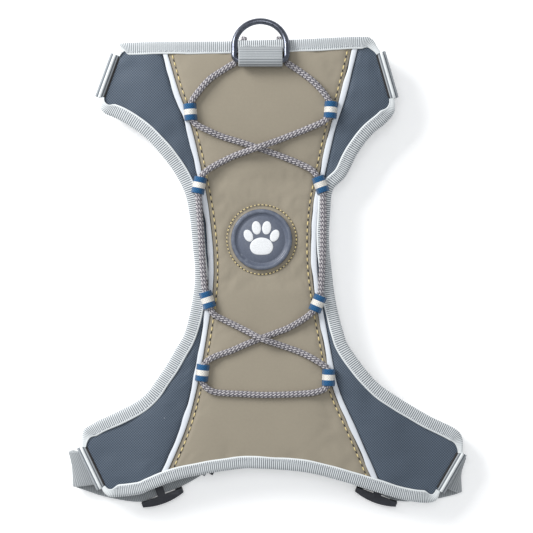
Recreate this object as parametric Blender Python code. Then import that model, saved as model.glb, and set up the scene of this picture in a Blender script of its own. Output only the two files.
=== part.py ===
"""No-pull dog harness, laid flat with its back panel on top of its chest panel.

Metres, +Z up, +Y towards the neck. Lengths below are in millimetres and are turned into metres where a
mesh is made. The origin is under the middle of the whole harness, on the surface that it lies on.
"""

import math

import bmesh
import bpy
import numpy as np

MM = 0.001
GAP = 0.3  # running clearance between neighbouring pieces

# Webbing, wire and cord
WEB_WIDTH = 20.0
WEB_THICK = 1.4
RING_WIRE = 3.5
RING_RADIUS = 16.0  # outside of the D
RING_REACH = 8.2  # from the bar's middle to the centre of the D's arc
RING_CORNER = 3.0  # bend at each end of the bar
CORD_DIAMETER = 3.4

# Heights of the padded sandwich above its own underside
BINDING_THICK = 0.7
BACK_LINING = (1.1, 2.0)
BACK_CORE = (2.3, 6.1)
BACK_FACE = (6.6, 7.4)
BACK_TOTAL = 8.4
CHEST_FACE = (0.9, 1.6)
CHEST_CORE = (1.9, 4.6)
CHEST_LINING = (4.9, 5.6)
CHEST_TOTAL = 6.6
BINDING_WIDTH = 7.0
EDGE_INSET = 1.5  # from the outside of the binding to the cut edge inside it

# How the two panels lie
AXIS_X = -3.0
NECK_HEIGHT = 13.0  # underside of the back panel over the chest ring
WAIST_HEIGHT = 8.4
TAIL_HEIGHT = 10.4  # over the buckles
WING_DROP = 6.0
CHEST_RAISED = 5.6
CHEST_LOW = 0.6

# Back panel outline
TOP_EDGE = [(-82.8, 115.1), (-80.3, 119.4), (-75.4, 121.6), (-18.7, 122.1), (13.2, 122.9),
            (50.7, 124.7), (58, 123.5), (61.1, 119.1), (63, 116.2)]
BOTTOM_EDGE = [(-90.8, -123.9), (-88, -127.3), (-83.7, -128.5), (-69.7, -126.7), (-62.7, -123.9),
               (-48.6, -118.6), (-34.6, -115.5), (-20.6, -113.4), (-8.8, -112.3), (13.2, -113.5),
               (26.5, -115.4), (43.2, -119.8), (59.8, -125.1), (76.5, -130.1), (87.8, -131.8),
               (93.8, -130.5), (96.3, -125.5)]
LEFT_EDGE = [(-102, -100.8), (-100.9, -92.3), (-94.3, -87.5), (-69.7, -74.8), (-58.3, -61),
             (-50, -47.3), (-43.9, -35.2), (-39.2, -9.9), (-40.6, 12.7), (-42.5, 29.4),
             (-45.3, 40.6), (-52.9, 54), (-66.4, 69.7), (-79.9, 78.9), (-89.4, 83.4),
             (-91.6, 87.6), (-91.6, 91.5)]
RIGHT_EDGE = [(108.5, -104.4), (108.5, -96.5), (104.5, -91.1), (89.8, -83.8), (73.2, -73.8),
              (59.8, -63.8), (46.2, -46.2), (42.4, -36.7), (38.5, -21), (36.3, -4.3),
              (34.8, 12.5), (35.5, 29.4), (36.9, 40.7), (43.9, 48.3), (50.7, 61.2),
              (58, 70.8), (66, 77.6), (70.4, 83), (71, 87.4), (70.4, 91)]

# Reflective seams, from the neck to the tail
LEFT_SEAM = [(-57, 121), (-55.2, 114.6), (-49.2, 93.8), (-43.5, 78.7), (-37.2, 52.8), (-32.1, 23.8),
             (-30.2, -4.3), (-32.8, -31.1), (-39.3, -67.6), (-45.8, -90.9), (-55, -112.7), (-58.2, -121)]
RIGHT_SEAM = [(49.6, 123.2), (48.4, 116.8), (42, 91), (36.6, 74.5), (31.6, 52.3), (27.3, 29.4),
              (26.3, 6.9), (28.2, -15.5), (33.7, -45.7), (38.2, -68.2), (47.9, -90.5),
              (59.2, -116.4), (62, -124.2)]
SEAM_WIDTH = 2.5

# Cord route over the panel, from one end under the keeper to the other
CORD_ROUTE = [(-16.6, 110.1), (-22.5, 106.6), (-30.5, 101.2), (-37.4, 93.5), (-40.8, 88.3),
              (-41.6, 82.2), (-38.6, 76.8), (-31.5, 73), (-24.2, 69.9), (-14.3, 66.8), (-4.1, 63.6),
              (4.6, 60.5), (13.2, 57.2), (20, 54.3), (25.4, 51.3), (28.9, 46.5), (31, 40.6),
              (31.4, 32), (31.5, 22), (31.3, 12.5), (31, 2), (30.5, -8.5), (29.6, -18.3),
              (27.2, -24.2), (22.4, -29), (13.2, -34.7), (5.4, -37.8), (-2.5, -40.7), (-11.2, -44.2),
              (-19.8, -47.9), (-27.5, -50.6), (-32.9, -53.9), (-35.2, -60), (-34, -66.2),
              (-28.9, -69.9), (-21.5, -70.9), (-14.3, -71.2), (-7, -71.6), (0.3, -71.8), (9.5, -71.6),
              (18.7, -71.2), (27.2, -70.2), (32.8, -67.7), (34.5, -62.7), (33.4, -57.2),
              (26.5, -52.3), (18.7, -48.4), (8.1, -44.6), (-2.5, -40.9), (-9.8, -37.2),
              (-17.1, -33.6), (-24, -30.2), (-28.6, -27.6), (-30.9, -23.1), (-33, -16.6),
              (-34.2, -7), (-34.9, 2.5), (-35.4, 12.5), (-36, 22), (-36.7, 31.5), (-37.2, 40.6),
              (-35.9, 46.5), (-31.8, 51.7), (-19.8, 58.2), (-12, 61.2), (-4.1, 63.8), (4.6, 67),
              (13.2, 70.3), (23.4, 74.3), (32.2, 78.4), (35.8, 83.6), (34.4, 89.4), (29.7, 95.7),
              (24, 101.2), (17.5, 106), (10.9, 110.3)]
CROSSINGS = [(-4.1, 63.7, 55), (-2.5, -40.8, 40)]  # x, y and the route point from which it passes over
HUMP = 3.8
HUMP_REACH = 9.0
LOOP_SPOTS = {"left_1": (-41.6, 83.2), "left_2": (-37.0, 43.6), "left_3": (-31.8, -20.1),
              "left_4": (-35.2, -60.0), "right_1": (35.7, 84.4), "right_2": (30.4, 43.2),
              "right_3": (28.4, -21.5), "right_4": (34.4, -61.6)}
LOOP_WIDTH = 9.6
RIBBON_THICK = 0.7
CORD_STEPS = 80

BADGE_PLACE = (-2.4, 13.4)
BADGE_RADIUS = 16.8
BADGE_HEIGHT = 2.6

# Lead rings
BACK_RING_PLACE = (-3.0, 111.0)
BACK_RING_RISE = 13.2  # above the underside of the back panel
BACK_RING_TILT = -13.0
FRONT_RING_PLACE = (-2.8, 119.5)
FRONT_RING_RISE = 3.7
FRONT_RING_TILT = 184.0
KEEPER_WIDTH = 24.0

# Chest panel outline
CHEST_TOP = [(-42.3, 103), (-38, 109.4), (-28, 113.6), (-2.8, 115.1), (22.5, 113.6), (32.5, 109.4),
             (36.8, 104.5)]
CHEST_LEFT = [(-18.4, -50.7), (-23, -42), (-26.5, -28), (-29, 0), (-32.5, 30), (-37, 55),
              (-42, 70), (-48.7, 82)]
CHEST_RIGHT = [(23.4, -50.7), (26.5, -38), (28.5, -25), (28.8, 0), (29, 30), (31, 55),
               (36, 72), (43.2, 83.5)]
CHEST_BOTTOM = [(-18.4, -50.7), (-1, -60.7), (2.5, -61.6), (6, -60.7), (23.4, -50.7)]

# Hardware places: middle x, middle y and the heading of the strap through it, in degrees
NECK_SLIDERS = {"left": (-66.5, 97.6, -17.0), "right": (54.0, 99.4, 195.0)}
GIRTH_SLIDERS = {"left": (-61.7, -118.4, 20.5), "right": (65.4, -118.0, 159.5)}
BUCKLES = {"left": (-40.9, -110.6, 60.0), "right": (43.5, -107.0, 120.0)}
NECK_SLIDER_LEVEL = 2.8  # underside of the neck sliders
SLIDER_HALF = (12.0, 13.4)  # half its length along the strap, half its width across
SLIDER_THICK = 4.9
SLIDER_RAIL = 2.6
GIRTH_RAIL_BOW = 2.0  # how much the girth sliders' rails swell in the middle
SLIDER_BAR = 1.5  # thickness of a cross bar
BUCKLE_HALF = 13.0
SOCKET_LENGTH = 27.0
PRONG_DEPTH = 13.0
PLUG_LENGTH = 12.5  # from its shoulder to the end of its strap frame
BAR_INSET = 2.5  # from a strap frame's end to the middle of its bar
BUCKLE_THICK = 9.0


# ------------------------------------------------------------------ materials and mesh helpers

def finish(name, colour, roughness, metallic=0.0):
    """A plain Principled material."""
    made = bpy.data.materials.new(name)
    made.use_nodes = True
    shader = made.node_tree.nodes["Principled BSDF"]
    shader.inputs["Base Color"].default_value = (*colour, 1.0)
    shader.inputs["Roughness"].default_value = roughness
    shader.inputs["Metallic"].default_value = metallic
    return made


def make_object(name, bm, material, pivot=(0.0, 0.0, 0.0)):
    """Turns a bmesh in millimetres into an object whose origin is at pivot."""
    bmesh.ops.remove_doubles(bm, verts=bm.verts, dist=1e-5)
    bmesh.ops.recalc_face_normals(bm, faces=bm.faces)
    centre = np.array(pivot, float)
    for vertex in bm.verts:
        vertex.co = (np.array(vertex.co) - centre) * MM
    mesh = bpy.data.meshes.new(name)
    bm.to_mesh(mesh)
    bm.free()
    mesh.materials.append(material)
    made = bpy.data.objects.new(name, mesh)
    made.location = centre * MM
    bpy.context.collection.objects.link(made)
    return made


def skin(name, rings, material, looped=False, pivot=(0.0, 0.0, 0.0)):
    """A closed body through a row of cross-sections with equal point counts."""
    bm = bmesh.new()
    rows = [[bm.verts.new(tuple(map(float, p))) for p in ring] for ring in rings]
    pairs = list(zip(rows, rows[1:] + rows[:1])) if looped else list(zip(rows, rows[1:]))
    for low, high in pairs:
        for i in range(len(low)):
            k = (i + 1) % len(low)
            bm.faces.new((low[i], low[k], high[k], high[i]))
    if not looped:
        bm.faces.new(rows[0][::-1])
        bm.faces.new(rows[-1])
    return make_object(name, bm, material, pivot)


def spline(points, count):
    """Evenly spaced points on a smooth curve through the given ones."""
    p = np.array(points, float)
    p = np.vstack([2 * p[0] - p[1], p, 2 * p[-1] - p[-2]])
    t = np.linspace(0, 1, 12, endpoint=False)[:, None]
    fine = []
    for a, b, c, d in zip(p, p[1:], p[2:], p[3:]):
        fine.append(0.5 * (2 * b + (c - a) * t + (2 * a - 5 * b + 4 * c - d) * t ** 2
                           + (3 * b - a - 3 * c + d) * t ** 3))
    fine = np.vstack(fine + [p[-2:-1]])
    along = np.r_[0, np.cumsum(np.linalg.norm(np.diff(fine, axis=0), axis=1))]
    want = np.linspace(0, along[-1], count)
    return np.column_stack([np.interp(want, along, fine[:, k]) for k in range(fine.shape[1])])


def left_normals(curve):
    """Unit normals to the left of a plan curve."""
    run = np.gradient(curve, axis=0)
    run /= np.linalg.norm(run, axis=1)[:, None]
    return np.column_stack([-run[:, 1], run[:, 0]])


def shifted(curve, distance):
    """The plan curve moved to its left."""
    return curve + left_normals(curve) * distance


def ease(value):
    """Smooth step from 0 to 1."""
    v = np.clip(value, 0.0, 1.0)
    return v * v * (3 - 2 * v)


# ------------------------------------------------------------------ how the cloth lies

def back_height(x, y):
    """Underside of the back panel: raised over the rings and buckles, its wings hanging lower."""
    middle = WAIST_HEIGHT + (NECK_HEIGHT - WAIST_HEIGHT) * ease((y - 40) / 60)
    middle = middle + (TAIL_HEIGHT - WAIST_HEIGHT) * ease((-30 - y) / 40)
    return middle - WING_DROP * ease((np.abs(x - AXIS_X) - 42) / 62)


def chest_height(x, y):
    """Outer face of the chest panel, raised at the ring end."""
    return CHEST_LOW + (CHEST_RAISED - CHEST_LOW) * ease((y - 52) / 52) + 0 * x


def patch(bottom, right, top, left, cols, rows):
    """A grid of plan points between four edge curves that meet at their ends."""
    s, t = np.linspace(0, 1, cols + 1), np.linspace(0, 1, rows + 1)
    b, u = spline(bottom, cols + 1), spline(top, cols + 1)
    lf, r = spline(left, rows + 1), spline(right, rows + 1)
    s, t = s[None, :, None], t[:, None, None]
    sides = (1 - s) * lf[:, None] + s * r[:, None]
    ends = (1 - t) * b[None] + t * u[None]
    corners = ((1 - s) * (1 - t) * b[0] + s * (1 - t) * b[-1] + (1 - s) * t * u[0] + s * t * u[-1])
    return sides + ends - corners


def slab(name, grid, levels, height, material):
    """A sheet of even thickness over a plan grid, following a height function."""
    rows, cols = grid.shape[:2]
    base = height(grid[..., 0], grid[..., 1])
    bm = bmesh.new()
    layers = []
    for level in levels:
        points = np.dstack([grid, base + level])
        layers.append([[bm.verts.new(tuple(map(float, points[i, k]))) for k in range(cols)]
                       for i in range(rows)])
    low, high = layers
    for i in range(rows - 1):
        for k in range(cols - 1):
            bm.faces.new((high[i][k], high[i][k + 1], high[i + 1][k + 1], high[i + 1][k]))
            bm.faces.new((low[i][k], low[i + 1][k], low[i + 1][k + 1], low[i][k + 1]))
    rim = [(0, k) for k in range(cols)] + [(i, cols - 1) for i in range(1, rows)]
    rim += [(rows - 1, k) for k in range(cols - 2, -1, -1)] + [(i, 0) for i in range(rows - 2, 0, -1)]
    for (a, b), (c, d) in zip(rim, rim[1:] + rim[:1]):
        bm.faces.new((low[a][b], low[c][d], high[c][d], high[a][b]))
    return make_object(name, bm, material)


def binding(name, edge, inward, total, height, material, stations):
    """Folded tape round a panel's edge: a channel whose two flanges lie on the panel."""
    curve = spline(edge, stations)
    side = left_normals(curve) * inward
    wall, thick, wide = 0.8, BINDING_THICK, BINDING_WIDTH
    section = [(wide, total), (0, total), (0, 0), (wide, 0), (wide, thick), (wall, thick),
               (wall, total - thick), (wide, total - thick)]
    rings = []
    for place, normal in zip(curve, side):
        ring = []
        for offset, level in section:
            x, y = place + normal * offset
            ring.append((x, y, height(x, y) + level))
        rings.append(ring)
    return skin(name, rings, material)


def band(name, left_rail, right_rail, thick, material, stations):
    """Webbing between two rails."""
    a, b = spline(left_rail, stations), spline(right_rail, stations)
    along = np.gradient((a + b) / 2, axis=0)
    up = np.cross(along, b - a)
    up /= np.linalg.norm(up, axis=1)[:, None]
    half = up * thick / 2
    return skin(name, list(np.stack([a - half, b - half, b + half, a + half], axis=1)), material)


def union(name, blocks, place, heading, material, bevel=0.5, bow=0.0):
    """One solid from overlapping blocks, each (low corner, high corner) in the piece's own frame.

    The outer faces of the first two blocks, a pair of rails along X, swell by bow in their middle.
    """
    parts = []
    for number, (low, high) in enumerate(blocks):
        bm = bmesh.new()
        bmesh.ops.create_cube(bm, size=1)
        for vertex in bm.verts:
            for k in range(3):
                vertex.co[k] = (low[k] if vertex.co[k] < 0 else high[k])
        if bow and number < 2:
            runs = [e for e in bm.edges if abs(e.verts[0].co.x - e.verts[1].co.x) > 1]
            bmesh.ops.subdivide_edges(bm, edges=runs, cuts=8, use_grid_fill=True)
            outer = max(abs(low[1]), abs(high[1]))
            for vertex in bm.verts:
                if abs(vertex.co.y) > outer - 0.01:
                    vertex.co.y += math.copysign(bow * (1 - (vertex.co.x / high[0]) ** 2), vertex.co.y)
        parts.append(make_object(f"{name}_{number}", bm, material))
    body = parts[0]
    body.name = name
    for other in parts[1:]:
        joint = body.modifiers.new("join", "BOOLEAN")
        joint.operation = "UNION"
        joint.object = other
    rounding = body.modifiers.new("edges", "BEVEL")
    rounding.width = bevel * MM
    rounding.segments = 1
    rounding.limit_method = "ANGLE"
    evaluated = body.evaluated_get(bpy.context.evaluated_depsgraph_get())
    mesh = bpy.data.meshes.new_from_object(evaluated)
    for part in parts:
        bpy.data.objects.remove(part)
    made = bpy.data.objects.new(name, mesh)
    made.location = (place[0] * MM, place[1] * MM, place[2] * MM)
    made.rotation_euler = (0, 0, math.radians(heading))
    bpy.context.collection.objects.link(made)
    return made


# ------------------------------------------------------------------ back panel

def back_outline(inset):
    """The four edges of the back panel: bottom, right, top and left, moved in by inset."""
    bottom = shifted(spline(BOTTOM_EDGE, 60), inset)
    top = shifted(spline(TOP_EDGE, 50), -inset)
    left = shifted(spline(LEFT_EDGE, 70), -inset)
    right = shifted(spline(RIGHT_EDGE, 70), inset)
    left = np.vstack([bottom[:1], left, top[:1]])
    right = np.vstack([bottom[-1:], right, top[-1:]])
    return bottom, right, top, left


def cut_at(edge, x):
    """Where a left-to-right edge passes x: the part before, the point, and the part after."""
    point = np.array([x, np.interp(x, edge[:, 0], edge[:, 1])])
    return np.vstack([edge[edge[:, 0] < x - 0.5], point]), np.vstack([point, edge[edge[:, 0] > x + 0.5]])


def seam_side(seam, offset, bottom, top):
    """A seam line moved sideways, tail to neck, ending on the panel's bottom and top edges."""
    line = shifted(spline(seam, 50), offset)[::-1]
    ends = [np.interp(line[k, 0], edge[:, 0], edge[:, 1]) for k, edge in ((0, bottom), (-1, top))]
    inside = (line[:, 1] > ends[0] + 2) & (line[:, 1] < ends[1] - 2)
    return np.vstack([(line[0, 0], ends[0]), line[inside], (line[-1, 0], ends[1])])


def build_back_panel(mats):
    """Foam, lining, faces, seams and bindings of the back panel."""
    bottom, right, top, left = back_outline(EDGE_INSET)
    whole = patch(bottom, right, top, left, 10, 28)
    slab("back_foam_core", whole, BACK_CORE, back_height, mats["foam"])
    slab("back_mesh_lining", whole, BACK_LINING, back_height, mats["mesh"])
    half = SEAM_WIDTH / 2
    edges = {}
    for side, seam in (("left", LEFT_SEAM), ("right", RIGHT_SEAM)):
        for place, offset in (("outer", half + GAP), ("strip_outer", half), ("strip_inner", -half),
                              ("inner", -half - GAP)):
            # seams run neck to tail, so their left is towards +X
            signed = -offset if side == "left" else offset
            edges[side, place] = seam_side(seam, signed, bottom, top)
    for side in ("left", "right"):
        outer, inner = edges[side, "strip_outer"], edges[side, "strip_inner"]
        first, second = (outer, inner) if side == "left" else (inner, outer)
        strip = patch([first[0], second[0]], second, [first[-1], second[-1]], first, 1, 28)
        slab(f"reflective_strip_{side}", strip, BACK_FACE, back_height, mats["reflective"])
    a, b = edges["left", "inner"], edges["right", "inner"]
    low = cut_at(cut_at(bottom, a[0, 0])[1], b[0, 0])[0]
    high = cut_at(cut_at(top, a[-1, 0])[1], b[-1, 0])[0]
    slab("centre_face_panel", patch(low, b, high, a, 6, 28), BACK_FACE, back_height, mats["taupe"])
    a = edges["left", "outer"]
    low, high = cut_at(bottom, a[0, 0])[0], cut_at(top, a[-1, 0])[0]
    slab("side_face_left", patch(low, a, high, left, 4, 28), BACK_FACE, back_height, mats["slate"])
    b = edges["right", "outer"]
    low, high = cut_at(bottom, b[0, 0])[1], cut_at(top, b[-1, 0])[1]
    slab("side_face_right", patch(low, right, high, b, 4, 28), BACK_FACE, back_height, mats["slate"])
    for name, edge, inward, stations in (("top", TOP_EDGE, -1, 26), ("bottom", BOTTOM_EDGE, 1, 32),
                                         ("left", LEFT_EDGE, -1, 30), ("right", RIGHT_EDGE, 1, 30)):
        binding(f"binding_{name}", edge, inward, BACK_TOTAL, back_height, mats["binding"], stations)


def build_badge(mats):
    """A round rubber badge with a raised rim, sewn to the middle of the back."""
    x, y = BADGE_PLACE
    base = back_height(x, y) + BACK_FACE[1] + GAP
    profile = [(0, 0), (BADGE_RADIUS, 0), (BADGE_RADIUS, 1.8), (BADGE_RADIUS - 0.9, BADGE_HEIGHT),
               (BADGE_RADIUS - 2.2, BADGE_HEIGHT), (BADGE_RADIUS - 2.8, 1.7), (0, 1.7)]
    bm = bmesh.new()
    sides = 32
    rows = []
    for radius, level in profile:
        turns = [2 * math.pi * k / sides for k in range(sides)] if radius else [0]
        rows.append([bm.verts.new((x + radius * math.cos(a), y + radius * math.sin(a), base + level))
                     for a in turns])
    for low, high in zip(rows, rows[1:]):
        for k in range(sides):
            n = (k + 1) % sides
            corners = [low[k % len(low)], low[n % len(low)], high[n % len(high)], high[k % len(high)]]
            bm.faces.new(dict.fromkeys(corners))
    make_object("badge", bm, mats["rubber"])


# ------------------------------------------------------------------ cord and its loops

def cord_height(x, y):
    """Middle of the cord: on the face in the middle, and a tape's thickness higher at the sides."""
    lift = (BACK_TOTAL - BACK_FACE[1]) * ease((np.abs(x - AXIS_X) - 22) / 7)
    return back_height(x, y) + BACK_FACE[1] + GAP + CORD_DIAMETER / 2 + lift


def cord_points(count):
    """The cord's centre line, with a low hump where it passes over itself."""
    route = []
    for number, (x, y) in enumerate(CORD_ROUTE):
        route.append((x, y, number))
    fine = spline(route, count)
    level = cord_height(fine[:, 0], fine[:, 1])
    for x, y, start in CROSSINGS:
        away = np.hypot(fine[:, 0] - x, fine[:, 1] - y)
        level = level + np.where(fine[:, 2] > start, HUMP * np.exp(-(away / HUMP_REACH) ** 2), 0)
    return np.column_stack([fine[:, :2], level])


def build_cord(mats):
    """The elastic cord as one tube along its whole route."""
    curve = bpy.data.curves.new("bungee_cord", "CURVE")
    curve.dimensions = "3D"
    line = curve.splines.new("POLY")
    points = cord_points(CORD_STEPS)
    line.points.add(len(points) - 1)
    for point, place in zip(line.points, points):
        point.co = (*(place * MM), 1.0)
    curve.bevel_depth = CORD_DIAMETER / 2 * MM
    curve.bevel_resolution = 2
    curve.use_fill_caps = True
    curve.materials.append(mats["cord"])
    bpy.context.collection.objects.link(bpy.data.objects.new("bungee_cord", curve))


def build_loops(mats):
    """Ribbon bridges that hold the cord to the two seams."""
    line = cord_points(CORD_STEPS)
    steps = np.linspace(0, CORD_STEPS - 1, 8 * CORD_STEPS)
    fine = np.column_stack([np.interp(steps, np.arange(CORD_STEPS), line[:, k]) for k in range(3)])
    along = np.r_[0, np.cumsum(np.linalg.norm(np.diff(fine, axis=0), axis=1))]
    inner = CORD_DIAMETER / 2 + 2 * GAP
    turns = np.linspace(0, math.pi, 7)
    outside = [(inner + RIBBON_THICK, -CORD_DIAMETER / 2)]
    outside += [((inner + RIBBON_THICK) * math.cos(a), (inner + RIBBON_THICK) * math.sin(a)) for a in turns]
    outside += [(-inner - RIBBON_THICK, -CORD_DIAMETER / 2), (-inner, -CORD_DIAMETER / 2)]
    section = outside + [(-inner * math.cos(a), inner * math.sin(a)) for a in turns]
    section += [(inner, -CORD_DIAMETER / 2)]
    for label, spot in LOOP_SPOTS.items():
        near = along[int(np.argmin(np.hypot(fine[:, 0] - spot[0], fine[:, 1] - spot[1])))]
        rings = []
        for reach in np.linspace(-LOOP_WIDTH / 2, LOOP_WIDTH / 2, 5):
            here, ahead, behind = (
                np.array([np.interp(near + reach + d, along, fine[:, k]) for k in range(3)])
                for d in (0, 2, -2))
            run = ahead[:2] - behind[:2]
            run /= np.linalg.norm(run)
            across = np.array([-run[1], run[0]])
            rings.append([(*(here[:2] + across * u), here[2] + v) for u, v in section])
        skin(f"cord_loop_{label}", rings, mats["ribbon"])


# ------------------------------------------------------------------ lead rings

def d_path(count=36):
    """The D's centre line in its own plane: the bar's middle at the origin, the arc towards +V."""
    radius = RING_RADIUS - RING_WIRE / 2
    corner = RING_CORNER
    points = [(-radius + corner, 0), (radius - corner, 0)]
    points += [(radius - corner + corner * math.sin(a), corner - corner * math.cos(a))
               for a in np.linspace(0.3, math.pi / 2, 4)]
    points += [(radius * math.cos(a), RING_REACH + radius * math.sin(a))
               for a in np.linspace(0, math.pi, 17)]
    points += [(-radius + corner - corner * math.sin(a), corner - corner * math.cos(a))
               for a in np.linspace(math.pi / 2, 0.3, 4)]
    return np.array(points)


def build_ring(name, place, rise, tilt, mats):
    """A D-shaped wire ring whose origin is on its bar's axis."""
    path = d_path()
    ahead, behind = np.roll(path, -1, axis=0), np.roll(path, 1, axis=0)
    run = ahead - behind
    run /= np.linalg.norm(run, axis=1)[:, None]
    c, s = math.cos(math.radians(tilt)), math.sin(math.radians(tilt))
    rings = []
    for (u, v), (du, dv) in zip(path, run):
        ring = []
        for a in np.linspace(0, 2 * math.pi, 8, endpoint=False):
            side, lift = RING_WIRE / 2 * math.cos(a), RING_WIRE / 2 * math.sin(a)
            flat_u, flat_v = u - dv * side, v + du * side
            ring.append((place[0] + flat_u, place[1] + c * flat_v - s * lift, rise + s * flat_v + c * lift))
        rings.append(ring)
    return skin(name, rings, mats["steel"], looped=True, pivot=(*place, rise))


def build_keeper(name, profile, middle_x, mats):
    """Webbing folded round a ring's bar, from its path in the YZ plane."""
    rails = [[(middle_x + side * KEEPER_WIDTH / 2, y, z) for y, z in profile] for side in (-1, 1)]
    band(name, rails[0], rails[1], 1.2, mats["webbing"], 30)


def wrap(place, rise, radius, start, end, count=7):
    """Points round a bar in the YZ plane, between two angles in degrees."""
    return [(place[1] + radius * math.cos(math.radians(a)), rise + radius * math.sin(math.radians(a)))
            for a in np.linspace(start, end, count)]


def build_rings(mats):
    """Both lead rings with their keepers."""
    x, y = BACK_RING_PLACE
    base = float(back_height(x, y))
    rise = base + BACK_RING_RISE
    build_ring("back_d_ring", BACK_RING_PLACE, rise, BACK_RING_TILT, mats)
    radius = RING_WIRE / 2 + GAP + 0.7
    sewn = base + BACK_TOTAL + 0.9
    profile = [(121.6, sewn), (117.5, sewn), (114.5, sewn + 0.4)]
    profile += wrap(BACK_RING_PLACE, rise, radius, -75, -290)
    profile += [(115.5, sewn + 4.2), (119, sewn + 2.2), (121.6, sewn + 1.8)]
    build_keeper("back_ring_keeper", profile, x, mats)
    x, y = FRONT_RING_PLACE
    build_ring("front_d_ring", FRONT_RING_PLACE, FRONT_RING_RISE, FRONT_RING_TILT, mats)
    profile = [(109.4, 4.5), (111.5, 4.55), (114, 4.6)]
    profile += wrap(FRONT_RING_PLACE, FRONT_RING_RISE, radius, 112, -110)
    profile += [(114, 2.6), (111.5, 2.9), (109.4, 2.9)]
    build_keeper("front_ring_keeper", profile, x, mats)


# ------------------------------------------------------------------ chest panel

def build_chest_panel(mats):
    """The smaller padded panel under the back panel, its outer face down."""
    bottom = spline(CHEST_BOTTOM, 20)
    top = shifted(spline(CHEST_TOP, 30), -EDGE_INSET)
    left = shifted(spline(CHEST_LEFT, 40), -EDGE_INSET)
    right = shifted(spline(CHEST_RIGHT, 40), EDGE_INSET)
    bottom[0], bottom[-1] = left[0], right[0]
    left = np.vstack([left, top[:1]])
    right = np.vstack([right, top[-1:]])
    grid = patch(bottom, right, top, left, 6, 20)
    slab("chest_face", grid, CHEST_FACE, chest_height, mats["slate"])
    slab("chest_foam_core", grid, CHEST_CORE, chest_height, mats["foam"])
    slab("chest_mesh_lining", grid, CHEST_LINING, chest_height, mats["mesh"])
    for name, edge, inward, stations in (("top", CHEST_TOP, -1, 16), ("left", CHEST_LEFT, -1, 20),
                                         ("right", CHEST_RIGHT, 1, 20)):
        line = spline(edge, 60)
        line = line[1:-3] if name != "top" else line[3:-3]
        binding(f"chest_binding_{name}", line, inward, CHEST_TOTAL, chest_height, mats["binding"], stations)


# ------------------------------------------------------------------ straps and hardware

def build_slider(name, place, level, mats, bow=0.0):
    """A three-bar strap adjuster: outer bars under the strap, middle bar over it."""
    long, wide = SLIDER_HALF
    high, rail, bar = SLIDER_THICK, SLIDER_RAIL, SLIDER_BAR
    blocks = [((-long, wide - rail, 0), (long, wide, high)),
              ((-long, -wide, 0), (long, -wide + rail, high)),
              ((-long, -wide + 1, 0), (-long + 4, wide - 1, bar)),
              ((long - 4, -wide + 1, 0), (long, wide - 1, bar)),
              ((-2.2, -wide + 1, high - bar), (2.2, wide - 1, high))]
    return union(name, blocks, (place[0], place[1], level), place[2], mats["plastic"], bow=bow)


def strap_rails(stations):
    """Left and right rails from stations of (x, y, z, heading of the strap, half width)."""
    left, right = [], []
    for x, y, z, heading, half in stations:
        a = math.radians(heading)
        side = np.array([-math.sin(a), math.cos(a)]) * half
        left.append((x + side[0], y + side[1], z))
        right.append((x - side[0], y - side[1], z))
    return left, right


def build_neck_strap(side, mats):
    """Webbing from a shoulder corner, folded under it and on to the chest panel."""
    x, y, heading = NECK_SLIDERS[side]
    u = np.array([math.cos(math.radians(heading)), math.sin(math.radians(heading))])
    level = NECK_SLIDER_LEVEL + SLIDER_BAR + GAP + WEB_THICK / 2
    half = WEB_WIDTH / 2
    reach_out = {"left": 20.4, "right": 13.6}[side]  # from the slider's middle to the panel's end edge
    reach_in = {"left": 19.4, "right": 12.6}[side]  # to the chest panel's end edge
    edge = np.array([x, y]) - u * reach_out
    top = float(back_height(*edge)) + 4.4
    bend = (top - level) / 2
    stations = [(*(edge - u * 0.6), top, heading, half), (*(edge - u * 2.0), top - 0.2, heading, half)]
    for turn in (60, 90, 120):
        a = math.radians(turn)
        centre = edge - u * 2.6
        rise = bend + bend * math.cos(a)
        stations.append((*(centre - u * bend * math.sin(a)), level + rise, heading, half))
    middle = np.array([x, y])
    stations += [(*(edge - u * 1.5), level, heading, half),
                 (*(middle - u * SLIDER_HALF[0]), level, heading, half),
                 (x, y, level, heading, half),
                 (*(middle + u * SLIDER_HALF[0]), level, heading, half)]
    joint = middle + u * reach_in
    stations += [(*(joint - u * 3.2), level + 1.2, heading, half),
                 (*(joint - u * 0.8), level + 2.6, heading, half)]
    left, right = strap_rails(stations)
    band(f"neck_strap_{side}", left, right, WEB_THICK, mats["webbing"], 26)


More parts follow.
